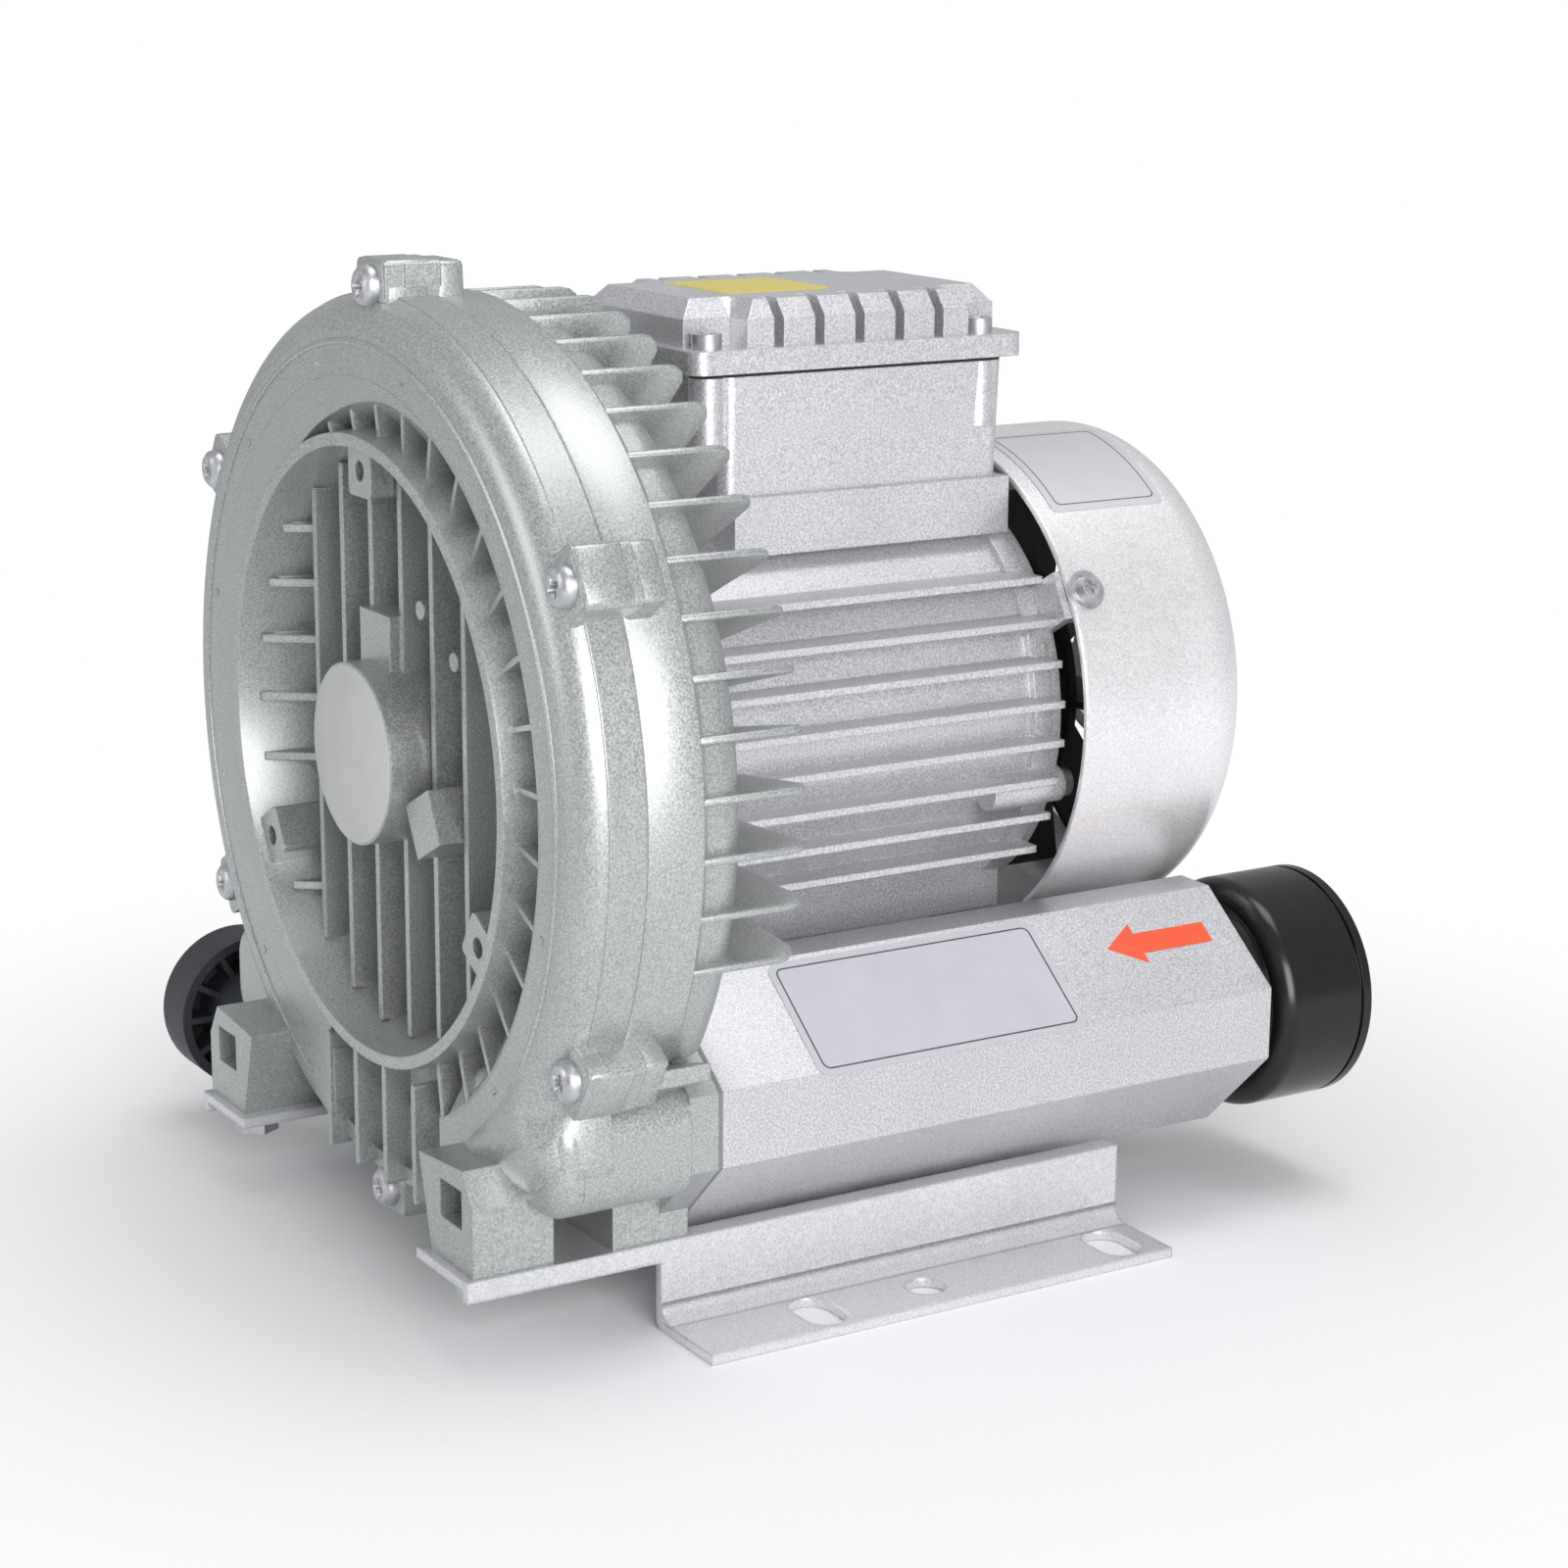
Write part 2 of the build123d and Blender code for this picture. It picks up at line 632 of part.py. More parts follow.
# Impeller casing: rear half of the channel, bearing seat, cooling fins and port flanges
with BuildPart() as impeller_casing:
    turned(
        (
            (HOUSING_R, 0),
            (HOUSING_R, 3.5),
            (BAND_R, 3.5),
            (BAND_R, BAND_END),
            (BAND_R - 2, BAND_END + 5),
            (BAND_R - 8, BAND_END + 8.5),
            (BAND_R - 13, CASING_BACK),
            (CASING_FIN_INNER_R + 3, CASING_BACK),
            (CASING_FIN_INNER_R - 3, IMPELLER_BACK + 4.5),
            (FRAME_R + 6.5, IMPELLER_BACK + 4.5),
            (FRAME_R + 6.5, MOTOR_SPIGOT_END - 6),
            (FRAME_R + 1.5, MOTOR_SPIGOT_END),
            (FRAME_BORE_R - SLIP, MOTOR_SPIGOT_END),
            (FRAME_BORE_R - SLIP, MOTOR_SPIGOT_END + 3),
            (FRAME_BORE_R - 3, MOTOR_SPIGOT_END + 3),
            (FRAME_BORE_R - 3, IMPELLER_BACK + CASING_WEB),
            (POCKET_R + 4, IMPELLER_BACK + CASING_WEB),
            (POCKET_R + 4, SEAL_START + 3),
            (BEARING_R + 5.5, SEAL_START + 7),
            (BEARING_R + 5.5, FRONT_BEARING + BEARING_WIDTH + 1),
            (BEARING_R + SLIP, FRONT_BEARING + BEARING_WIDTH + 1),
            (BEARING_R + SLIP, FRONT_BEARING),
            (BEARING_R - 4, FRONT_BEARING),
            (BEARING_R - 4, SEAL_START + SEAL_WIDTH),
            (SEAL_R + SLIP, SEAL_START + SEAL_WIDTH),
            (SEAL_R + SLIP, SEAL_START - 0.5),
            (POCKET_R, SEAL_START - 0.5),
            (POCKET_R, IMPELLER_BACK),
            (CHANNEL_INNER_R, IMPELLER_BACK),
            (CHANNEL_INNER_R, 0),
        )
    )
    # Port chambers behind the humps, and the flanges the silencers sit on
    with BuildSketch(section(0)):
        hump_outlines()
    extrude(amount=-FLANGE_START)
    with BuildSketch(section(FLANGE_START)):
        for side in PORT_SIDES:
            Polygon(*mirrored(side, FLANGE_OUTLINE), align=None)
    extrude(amount=FLANGE_START - SILENCER_START + GASKET)
    # Rib from the lower lug to the flange, and the pads for the foot rails
    for side in PORT_SIDES:
        with BuildSketch(section(LUG_BACK - 2)):
            Polygon(*mirrored(side, CHAMBER_RIB), align=None)
        extrude(amount=LUG_BACK - 2 - FLANGE_START)
        with BuildSketch(section(CASING_PAD_START)):
            Polygon(*mirrored(side, CASING_PAD_OUTLINE), align=None)
        extrude(amount=CASING_PAD_START - SILENCER_START + GASKET)
    # Cooling fins over the upper three quarters
    with BuildSketch(*[radial(CASING_FIN_STEP * (index + 0.5)) for index in range(FIN_FIRST, FIN_LAST)]):
        Polygon(
            (CASING_FIN_INNER_R, IMPELLER_BACK + 5),
            (BAND_R, BAND_END - 1),
            (BAND_R, CASING_FIN_END - 8),
            (BAND_R - 2, CASING_FIN_END - 3.5),
            (BAND_R - 6, CASING_FIN_END),
            (CASING_FIN_INNER_R, CASING_FIN_END - 4),
            align=None,
        )
    extrude(amount=CASING_FIN_THICK / 2, both=True)
    # Lugs with threaded holes for the cover screws
    with BuildSketch(section(0)):
        for angle in LUG_ANGLES:
            lug_outline(angle)
    extrude(amount=-LUG_BACK + 2)
    # Boss of the closed side port on the left
    with BuildSketch(section(0)):
        Polygon(*mirrored(-1, SIDE_BOSS_OUTLINE), align=None)
    extrude(amount=-SIDE_BOSS_DEPTH)
    # Running channel, stripper, ports and holes
    ring(0.001, CHANNEL_INNER_R + 0.1, 0, IMPELLER_BACK, mode=Mode.SUBTRACT)
    revolve(channel_profile(IMPELLER_BACK + CHANNEL_REAR, 0), axis=SPIN, mode=Mode.SUBTRACT)
    with BuildSketch(section(IMPELLER_BACK)):
        stripper_zone(CHANNEL_OUTER_R + 0.5, CHANNEL_INNER_R - 0.5, STRIPPER_HALF)
    extrude(amount=-CHANNEL_REAR - 1)
    with BuildSketch(section(IMPELLER_BACK)):
        with Locations(*PORT_CENTRES):
            Circle(PORT_BORE_R)
    extrude(amount=IMPELLER_BACK - SILENCER_START, mode=Mode.SUBTRACT)
    with BuildSketch(section(0)):
        with Locations(*around(SCREW_PITCH_R, 6, 30)):
            Circle(SCREW_R)
    extrude(amount=-LUG_BACK, mode=Mode.SUBTRACT)
    with BuildSketch(section(SILENCER_START)):
        with Locations(*SILENCER_SCREW_POINTS):
            Circle(SCREW_R)
    extrude(amount=SILENCER_SCREW_LENGTH, mode=Mode.SUBTRACT)
    foot_bolt_holes(FOOT_BOLT_STATIONS[1])
save(impeller_casing, "impeller_casing")

# Cover screws with hexagon sockets
with BuildPart() as cover_screws:
    screws(section(-LUG_FRONT), around(SCREW_PITCH_R, 6, 30), 1, SCREW_R - SLIP, 13, 4.25, 5, 2.3)
save(cover_screws, "cover_screws")

# Impeller with radial vanes that stand in the side channel
with BuildPart() as impeller:
    turned(
        (
            (SHAFT_FRONT_R + SLIP, HUB_START),
            (IMPELLER_HUB_R, HUB_START),
            (RIM_INNER_R - 2, HUB_START),
            (RIM_INNER_R + 1.5, RING_FRONT),
            (CHANNEL_INNER_R - 0.4, RING_FRONT),
            (CHANNEL_INNER_R - 0.4, IMPELLER_BACK - GAP),
            (CHANNEL_INNER_R - 6.5, IMPELLER_BACK - GAP),
            (CHANNEL_INNER_R - 6.5, RING_FRONT + 3.3),
            (RIM_INNER_R + 3, RING_FRONT + 3.3),
            (RIM_INNER_R + 0.5, IMPELLER_BACK - GAP),
            (IMPELLER_HUB_R, IMPELLER_BACK - GAP),
            (IMPELLER_HUB_R, SEAL_START - 0.8),
            (SHAFT_FRONT_R + SLIP, SEAL_START - 0.8),
        )
    )
    with BuildSketch(AXIAL):
        Polygon(
            (CHANNEL_INNER_R - 1, RING_FRONT + 1),
            (CHANNEL_OUTER_R - 4.4, RING_FRONT + 3.7),
            (CHANNEL_OUTER_R - 4.4, IMPELLER_BACK - 8.3),
            (CHANNEL_INNER_R - 1, IMPELLER_BACK - 5),
            align=None,
        )
    revolve(axis=SPIN)
    with BuildSketch(section(GAP)):
        with PolarLocations((CHANNEL_INNER_R + CHANNEL_OUTER_R) / 2 - 0.5, VANE_COUNT):
            Rectangle(CHANNEL_OUTER_R - CHANNEL_INNER_R, VANE_THICK)
    extrude(amount=2 * GAP - IMPELLER_BACK)
    with BuildSketch(section(HUB_START)):
        with Locations((0, SHAFT_FRONT_R)):
            Rectangle(KEY_WIDTH + 2 * SLIP, 2 * KEY_PROUD + 0.2)
    extrude(amount=HUB_START - SEAL_START, mode=Mode.SUBTRACT)
save(impeller, "impeller")

# Key, washer and bolt that hold the impeller
with BuildPart() as impeller_key:
    with BuildSketch(section(HUB_START + 2)):
        with Locations((0, SHAFT_FRONT_R)):
            Rectangle(KEY_WIDTH, 2 * KEY_PROUD)
    extrude(amount=-KEY_LENGTH)
save(impeller_key, "impeller_key")

with BuildPart() as impeller_washer:
    ring(BOLT_R + 0.2, WASHER_R, HUB_START - WASHER_THICK, HUB_START)
save(impeller_washer, "impeller_washer")

with BuildPart() as impeller_bolt:
    screws(section(HUB_START - WASHER_THICK), [(0, 0)], 1, BOLT_R, 18, 5.8, 4.4)
save(impeller_bolt, "impeller_bolt")

# Stepped motor shaft
with BuildPart() as shaft:
    bearing_end = FRONT_BEARING + BEARING_WIDTH
    rear_end = REAR_BEARING + BEARING_WIDTH
    turned(
        (
            (0, HUB_START + 0.3),
            (SHAFT_FRONT_R - 0.5, HUB_START + 0.3),
            (SHAFT_FRONT_R, HUB_START + 0.8),
            (SHAFT_FRONT_R, SEAL_START - 0.8),
            (SHAFT_R, SEAL_START - 0.8),
            (SHAFT_R, bearing_end),
            (ROTOR_SEAT_R, bearing_end),
            (ROTOR_SEAT_R, REAR_BEARING),
            (SHAFT_R, REAR_BEARING),
            (SHAFT_R, rear_end + 0.5),
            (FAN_SEAT_R, rear_end + 0.5),
            (FAN_SEAT_R, FAN_END + 1),
            (FAN_SEAT_R - 0.5, FAN_END + 1),
            (FAN_SEAT_R - 0.5, FAN_END + 2.1),
            (FAN_SEAT_R, FAN_END + 2.1),
            (FAN_SEAT_R, FAN_END + 4),
            (0, FAN_END + 4),
        )
    )
    ring(0.001, BOLT_R, HUB_START, HUB_START + 19, mode=Mode.SUBTRACT)
    with BuildSketch(section(HUB_START + 2)):
        with Locations((0, SHAFT_FRONT_R)):
            Rectangle(KEY_WIDTH, 2 * KEY_PROUD)
    extrude(amount=-KEY_LENGTH, mode=Mode.SUBTRACT)
save(shaft, "shaft")

with BuildPart() as shaft_seal:
    turned(
        (
            (SHAFT_R + 0.15, SEAL_START + 1.5),
            (SHAFT_R + 1.5, SEAL_START + 0.3),
            (SEAL_R, SEAL_START),
            (SEAL_R, SEAL_START + SEAL_WIDTH - 0.3),
            (SHAFT_R + 2, SEAL_START + SEAL_WIDTH - 0.3),
            (SHAFT_R + 2, SEAL_START + 3),
            (SHAFT_R + 0.15, SEAL_START + 3),
        )
    )
save(shaft_seal, "shaft_seal")


def bearing_outer(start):
    """Outer race with its two shields."""
    end = start + BEARING_WIDTH
    turned(
        (
            (BEARING_R, start),
            (BEARING_R, end),
            (SHIELD_R, end),
            (SHIELD_R, end - 0.8),
            (BEARING_R - 3, end - 0.8),
            (BEARING_R - 3, start + 0.8),
            (SHIELD_R, start + 0.8),
            (SHIELD_R, start),
        )
    )


def bearing_balls(start):
    """Balls held by a thin cage ring."""
    middle = start + BEARING_WIDTH / 2
    ring(BALL_PITCH_R - 0.7, BALL_PITCH_R + 0.7, middle - 1.3, middle + 1.3)
    with Locations(section(middle)):
        with PolarLocations(BALL_PITCH_R, BALL_COUNT):
            Sphere(BALL_R)


# Two sealed ball bearings
with BuildPart() as front_bearing_outer:
    bearing_outer(FRONT_BEARING)
save(front_bearing_outer, "front_bearing_outer")

with BuildPart() as front_bearing_inner:
    ring(SHAFT_R + SLIP, SHIELD_R - GAP, FRONT_BEARING, FRONT_BEARING + BEARING_WIDTH)
save(front_bearing_inner, "front_bearing_inner")

with BuildPart() as front_bearing_balls:
    bearing_balls(FRONT_BEARING)
save(front_bearing_balls, "front_bearing_balls")

with BuildPart() as rear_bearing_outer:
    bearing_outer(REAR_BEARING)
save(rear_bearing_outer, "rear_bearing_outer")

with BuildPart() as rear_bearing_inner:
    ring(SHAFT_R + SLIP, SHIELD_R - GAP, REAR_BEARING, REAR_BEARING + BEARING_WIDTH)
save(rear_bearing_inner, "rear_bearing_inner")

with BuildPart() as rear_bearing_balls:
    bearing_balls(REAR_BEARING)
save(rear_bearing_balls, "rear_bearing_balls")

with BuildPart() as wave_washer:
    ring(BEARING_R - 3.5, BEARING_R - 0.5, REAR_BEARING + BEARING_WIDTH, SHIELD_POCKET_END)
save(wave_washer, "wave_washer")

# Motor frame with horizontal fins, terminal box pad and end rings
with BuildPart() as motor_frame:
    with BuildSketch(section(MOTOR_SPIGOT_END)):
        Circle(FRAME_R)
        for row in range(-4, 4):
            z = FRAME_FIN_OFFSET + FRAME_FIN_PITCH * row
            with Locations((0, z)):
                Rectangle(2 * sqrt(FRAME_FIN_R**2 - z**2), FRAME_FIN_THICK)
    extrude(amount=MOTOR_SPIGOT_END - FRAME_END)
    ring(FRAME_R - 2, FRAME_R + 2, MOTOR_SPIGOT_END, MOTOR_SPIGOT_END + 6)
    ring(FRAME_R - 2, FRAME_R + 2, FRAME_END - 5, FRAME_END)
    with BuildSketch(section(BOX_START + 3)):
        with Locations((0, BOX_BASE - 7)):
            Rectangle(2 * BOX_HALF + 2, 14)
        with Locations((0, -FRAME_R + 6)):
            Rectangle(2 * BOX_HALF, 15)
    extrude(amount=BOX_START + 3 - FRAME_END)
    with BuildSketch(section(FRAME_END)):
        with Locations(*around(END_SCREW_R, 4, END_SCREW_ANGLE)):
            Circle(4.5)
    extrude(amount=18)
    with BuildSketch(section(MOTOR_SPIGOT_END)):
        Circle(FRAME_BORE_R)
    extrude(amount=MOTOR_SPIGOT_END - FRAME_END, mode=Mode.SUBTRACT)
    with BuildSketch(section(FRAME_END)):
        with Locations(*around(END_SCREW_R, 4, END_SCREW_ANGLE)):
            Circle(2)
    extrude(amount=14, mode=Mode.SUBTRACT)
    with BuildSketch(level(BOX_BASE)):
        with Locations(*BOX_SCREW_POINTS):
            Circle(2)
    extrude(amount=-8, mode=Mode.SUBTRACT)
save(motor_frame, "motor_frame")

# Stator core, windings and squirrel cage rotor
with BuildPart() as stator_core:
    with BuildSketch(section(STACK_START)):
        Circle(FRAME_BORE_R - SLIP)
        Circle(STATOR_BORE_R, mode=Mode.SUBTRACT)
        with PolarLocations(STATOR_BORE_R + 7.5, SLOT_COUNT):
            Rectangle(11, 3.4, mode=Mode.SUBTRACT)
    extrude(amount=-STACK_LENGTH)
save(stator_core, "stator_core")

with BuildPart() as stator_windings:
    for start, outward in ((STACK_START - 0.3, -1), (STACK_START + STACK_LENGTH + 0.3, 1)):
        turned(
            (
                (STATOR_BORE_R + 2.5, start),
                (FRAME_BORE_R - 4.5, start),
                (FRAME_BORE_R - 2.5, start + outward * END_TURN * 0.5),
                (FRAME_BORE_R - 6, start + outward * END_TURN),
                (STATOR_BORE_R + 6, start + outward * END_TURN),
                (STATOR_BORE_R + 3, start + outward * END_TURN * 0.5),
            )
        )
    with BuildSketch(section(STACK_START - 1)):
        with PolarLocations(STATOR_BORE_R + 7.5, SLOT_COUNT):
            Rectangle(10.6, 3)
    extrude(amount=-STACK_LENGTH - 2)
save(stator_windings, "stator_windings")

with BuildPart() as rotor_core:
    with BuildSketch(section(STACK_START)):
        Circle(STATOR_BORE_R - AIR_GAP)
        Circle(ROTOR_SEAT_R + SLIP, mode=Mode.SUBTRACT)
        with PolarLocations(STATOR_BORE_R - 4, BAR_COUNT):
            Circle(BAR_R + SLIP, mode=Mode.SUBTRACT)
    extrude(amount=-STACK_LENGTH)
save(rotor_core, "rotor_core")

with BuildPart() as rotor_cage:
    ring(STATOR_BORE_R - 9, STATOR_BORE_R - 1, STACK_START - 5, STACK_START)
    ring(STATOR_BORE_R - 9, STATOR_BORE_R - 1, STACK_START + STACK_LENGTH, STACK_START + STACK_LENGTH + 5)
    with BuildSketch(section(STACK_START)):
        with PolarLocations(STATOR_BORE_R - 4, BAR_COUNT):
            Circle(BAR_R)
    extrude(amount=-STACK_LENGTH)
save(rotor_cage, "rotor_cage")

# Rear end shield with the bearing housing and three cowl tabs
with BuildPart() as rear_end_shield:
    turned(
        (
            (BEARING_R + SLIP, REAR_BEARING - 0.5),
            (BEARING_R + SLIP, SHIELD_POCKET_END),
            (SHAFT_R + 1, SHIELD_POCKET_END),
            (SHAFT_R + 1, SHIELD_POCKET_END + 2.5),
            (BEARING_R + 3, SHIELD_POCKET_END + 2.5),
            (BEARING_R + 4.5, SHIELD_POCKET_END),
            (BEARING_R + 8.5, FRAME_END + 3),
            (FRAME_R + 1.5, FRAME_END + 3),
            (FRAME_R + 1.5, FRAME_END),
            (FRAME_BORE_R - SLIP, FRAME_END),
            (FRAME_BORE_R - SLIP, FRAME_END - 3),
            (FRAME_BORE_R - 3, FRAME_END - 3),
            (FRAME_BORE_R - 3, FRAME_END - 0.5),
            (BEARING_R + 7, FRAME_END - 0.5),
            (BEARING_R + 4, REAR_BEARING - 0.5),
        )
    )
    with BuildSketch(section(FRAME_END)):
        with PolarLocations((FRAME_R - 8 + TAB_R) / 2, 3, start_angle=COWL_SCREW_ANGLE):
            Rectangle(TAB_R - FRAME_R + 8, 12)
        with Locations(*around(END_SCREW_R, 4, END_SCREW_ANGLE)):
            Circle(4.5)
    extrude(amount=-3)
    with BuildSketch(section(FRAME_END)):
        with PolarLocations(TAB_R - 2, 3, start_angle=COWL_SCREW_ANGLE):
            Rectangle(4, 12)
    extrude(amount=-12)
    with BuildSketch(section(FRAME_END)):
        with Locations(*around(END_SCREW_R, 4, END_SCREW_ANGLE)):
            Circle(2.2)
    extrude(amount=-3, mode=Mode.SUBTRACT)
    with BuildSketch(*COWL_SCREW_PLANES):
        Circle(1.6)
    extrude(amount=-6, mode=Mode.SUBTRACT)
save(rear_end_shield, "rear_end_shield")

with BuildPart() as end_shield_screws:
    screws(
        section(FRAME_END + 3), around(END_SCREW_R, 4, END_SCREW_ANGLE), -1, 2 - SLIP, 14, 3.5, 3, 1.7
    )
save(end_shield_screws, "end_shield_screws")

# Fan, its circlip and the cowl
with BuildPart() as cooling_fan:
    ring(FAN_SEAT_R + SLIP, 11, FAN_START - 2, FAN_END)
    turned(
        (
            (10, FAN_START - 2),
            (FAN_R - 12, FAN_START),
            (FAN_R - 12, FAN_START + 2),
            (10, FAN_START + 1),
        )
    )
    with BuildSketch(section(FAN_START)):
        with PolarLocations(FAN_R / 2 + 5, FAN_BLADES):
            Rectangle(FAN_R - 10, 1.8)
    extrude(amount=-FAN_WIDTH)
save(cooling_fan, "cooling_fan")

with BuildPart() as fan_clip:
    ring(FAN_SEAT_R - 0.45, FAN_SEAT_R + 3, FAN_END + 1.05, FAN_END + 2.05)
    with BuildSketch(section(FAN_END + 1)):
        with Locations((0, 6)):
            Rectangle(3, 8)
    extrude(amount=-1.2, mode=Mode.SUBTRACT)
save(fan_clip, "fan_clip")

with BuildPart() as fan_cowl:
    with BuildSketch(AXIAL):
        with BuildLine():
            Polyline(
                (COWL_R - COWL_WALL, COWL_START),
                (COWL_R, COWL_START),
                (COWL_R, COWL_END - COWL_CORNER),
            )
            TangentArc(
                (COWL_R, COWL_END - COWL_CORNER), (COWL_R - COWL_CORNER, COWL_END), tangent=(0, 1)
            )
            Polyline((COWL_R - COWL_CORNER, COWL_END), (0, COWL_END), (0, COWL_END - COWL_WALL))
            Line((0, COWL_END - COWL_WALL), (COWL_R - COWL_CORNER, COWL_END - COWL_WALL))
            TangentArc(
                (COWL_R - COWL_CORNER, COWL_END - COWL_WALL),
                (COWL_R - COWL_WALL, COWL_END - COWL_CORNER),
                tangent=(1, 0),
            )
            Line((COWL_R - COWL_WALL, COWL_END - COWL_CORNER), (COWL_R - COWL_WALL, COWL_START))
        make_face()
    revolve(axis=SPIN)
    with BuildSketch(section(COWL_END - COWL_WALL - 0.2)):
        for step in reversed(range(GRILLE_RINGS)):
            Circle(GRILLE_INNER_R + GRILLE_PITCH * step + GRILLE_SLOT)
            Circle(GRILLE_INNER_R + GRILLE_PITCH * step, mode=Mode.SUBTRACT)
        with PolarLocations(0, 2, start_angle=45):
            Rectangle(2 * COWL_R, 5, mode=Mode.SUBTRACT)
        with PolarLocations(0, 2, start_angle=0):
            Rectangle(2 * COWL_R, 5, mode=Mode.SUBTRACT)
    extrude(amount=-COWL_WALL - 1, mode=Mode.SUBTRACT)
    with BuildSketch(*COWL_SCREW_PLANES):
        Circle(1.8)
    extrude(amount=-6, mode=Mode.SUBTRACT)
save(fan_cowl, "fan_cowl")

with BuildPart() as cowl_washers:
    with BuildSketch(*COWL_SCREW_PLANES):
        Circle(5)
        Circle(1.8, mode=Mode.SUBTRACT)
    extrude(amount=1)
save(cowl_washers, "cowl_washers")

with BuildPart() as cowl_screws:
    with BuildSketch(*COWL_SCREW_PLANES):
        Circle(1.55)
    extrude(amount=-5)
    with BuildSketch(*COWL_SCREW_PLANES):
        Circle(1.55)
    extrude(amount=1)
    with BuildSketch(*[plane.offset(1) for plane in COWL_SCREW_PLANES]):
        Circle(3.3)
    extrude(amount=2.2, taper=20)
    with BuildSketch(*[plane.offset(3.2) for plane in COWL_SCREW_PLANES]):
        Rectangle(3.4, 0.9)
        Rectangle(0.9, 3.4)
    extrude(amount=-1.2, mode=Mode.SUBTRACT)
save(cowl_screws, "cowl_screws")

# Terminal box on the frame pad, with gasket, lid and connection board
with BuildPart() as terminal_box:
    with BuildSketch(level(BOX_TOP)):
        with Locations((0, BOX_MIDDLE)):
            RectangleRounded(2 * BOX_HALF, BOX_END - BOX_START, 4)
    extrude(amount=BOX_BASE - BOX_TOP, taper=BOX_TAPER)
    with BuildSketch(level(BOX_TOP)):
        with Locations((0, BOX_MIDDLE)):
            RectangleRounded(2 * (BOX_HALF - BOX_WALL), BOX_END - BOX_START - 2 * BOX_WALL, 3)
    extrude(amount=BOX_BASE - BOX_TOP + BOX_WALL, taper=BOX_TAPER, mode=Mode.SUBTRACT)
    with BuildSketch(level(BOX_TOP)):
        with Locations(*LID_SCREW_POINTS):
            Circle(4.2)
    extrude(amount=-16)
    with BuildSketch(level(BOX_TOP)):
        with Locations(*LID_SCREW_POINTS):
            Circle(2)
    extrude(amount=-12, mode=Mode.SUBTRACT)
    with BuildSketch(level(BOX_BASE)):
        with Locations(*BOX_SCREW_POINTS):
            Circle(2.2)
        with Locations((0, BOX_MIDDLE)):
            Circle(9)
    extrude(amount=2 * BOX_WALL, mode=Mode.SUBTRACT)
    with BuildSketch(GLAND_PLANE):
        Circle(GLAND_R)
    extrude(amount=-8, mode=Mode.SUBTRACT)
save(terminal_box, "terminal_box")

with BuildPart() as terminal_box_screws:
    screws(level(BOX_BASE + BOX_WALL), BOX_SCREW_POINTS, 1, 2 - SLIP, 9, 3.4, 3, 1.6)
save(terminal_box_screws, "terminal_box_screws")

with BuildPart() as terminal_box_gasket:
    with BuildSketch(level(BOX_TOP)):
        with Locations((0, BOX_MIDDLE)):
            RectangleRounded(2 * BOX_HALF, BOX_END - BOX_START, 4)
            RectangleRounded(
                2 * (BOX_HALF - BOX_WALL),
                BOX_END - BOX_START - 2 * BOX_WALL,
                3,
                mode=Mode.SUBTRACT,
            )
        with Locations(*LID_SCREW_POINTS):
            Circle(4.2)
        with Locations(*LID_SCREW_POINTS):
            Circle(2.2, mode=Mode.SUBTRACT)
    extrude(amount=GASKET)
save(terminal_box_gasket, "terminal_box_gasket")

with BuildPart() as terminal_box_lid:
    lid_half = BOX_HALF + LID_OVERHANG
    with BuildSketch(level(BOX_TOP + GASKET)):
        with Locations((0, (LID_START + LID_END) / 2)):
            RectangleRounded(2 * lid_half, LID_END - LID_START, 4)
    extrude(amount=LID_LIP - GASKET)
    with BuildSketch(level(BOX_TOP + LID_LIP)):
        with Locations((0, (LID_START + LID_END) / 2)):
            Rectangle(2 * LID_RISE_HALF, LID_END - LID_START - 6)
            Rectangle(2 * lid_half - 4, LID_RIB_LENGTH)
    extrude(amount=LID_HEIGHT - LID_LIP - LID_CHAMFER)
    with BuildSketch(level(BOX_TOP + LID_HEIGHT - LID_CHAMFER)):
        with Locations((0, (LID_START + LID_END) / 2)):
            Rectangle(2 * LID_RISE_HALF, LID_END - LID_START - 6)
            Rectangle(2 * lid_half - 4, LID_RIB_LENGTH)
    extrude(amount=LID_CHAMFER, taper=LID_TAPER)
    with BuildSketch(level(BOX_TOP + LID_LIP)):
        with Locations((0, (LID_START + LID_END) / 2)):
            for side in PORT_SIDES:
                with Locations((side * (LID_RISE_HALF + 5), 0)):
                    with GridLocations(0, LID_GROOVE_PITCH, 1, LID_GROOVES):
                        Rectangle(12, 2.6)
    extrude(amount=LID_HEIGHT, mode=Mode.SUBTRACT)
    with BuildSketch(level(BOX_TOP + GASKET)):
        with Locations((0, (LID_START + LID_END) / 2)):
            Rectangle(2 * LID_RISE_HALF - 8, LID_END - LID_START - 16)
    extrude(amount=LID_HEIGHT - 4 * GASKET, mode=Mode.SUBTRACT)
    with BuildSketch(level(BOX_TOP + GASKET)):
        with Locations(*LID_SCREW_POINTS):
            Circle(2.2)
    extrude(amount=LID_LIP, mode=Mode.SUBTRACT)
save(terminal_box_lid, "terminal_box_lid")

with BuildPart() as lid_screws:
    screws(level(BOX_TOP + LID_LIP), LID_SCREW_POINTS, 1, 2 - SLIP, 15, 3.6, 3.6, 1.8)
save(lid_screws, "lid_screws")

with BuildPart() as terminal_board:
    with BuildSketch(level(BOX_BASE + BOX_WALL)):
        with Locations((4, BOX_MIDDLE + 3)):
            Rectangle(34, 24)
    extrude(amount=6)
    with BuildSketch(level(BOX_BASE + BOX_WALL + 6)):
        with Locations((4, BOX_MIDDLE + 3)):
            with GridLocations(11, 0, 2, 1):
                Rectangle(1.5, 24)
    extrude(amount=5)
save(terminal_board, "terminal_board")

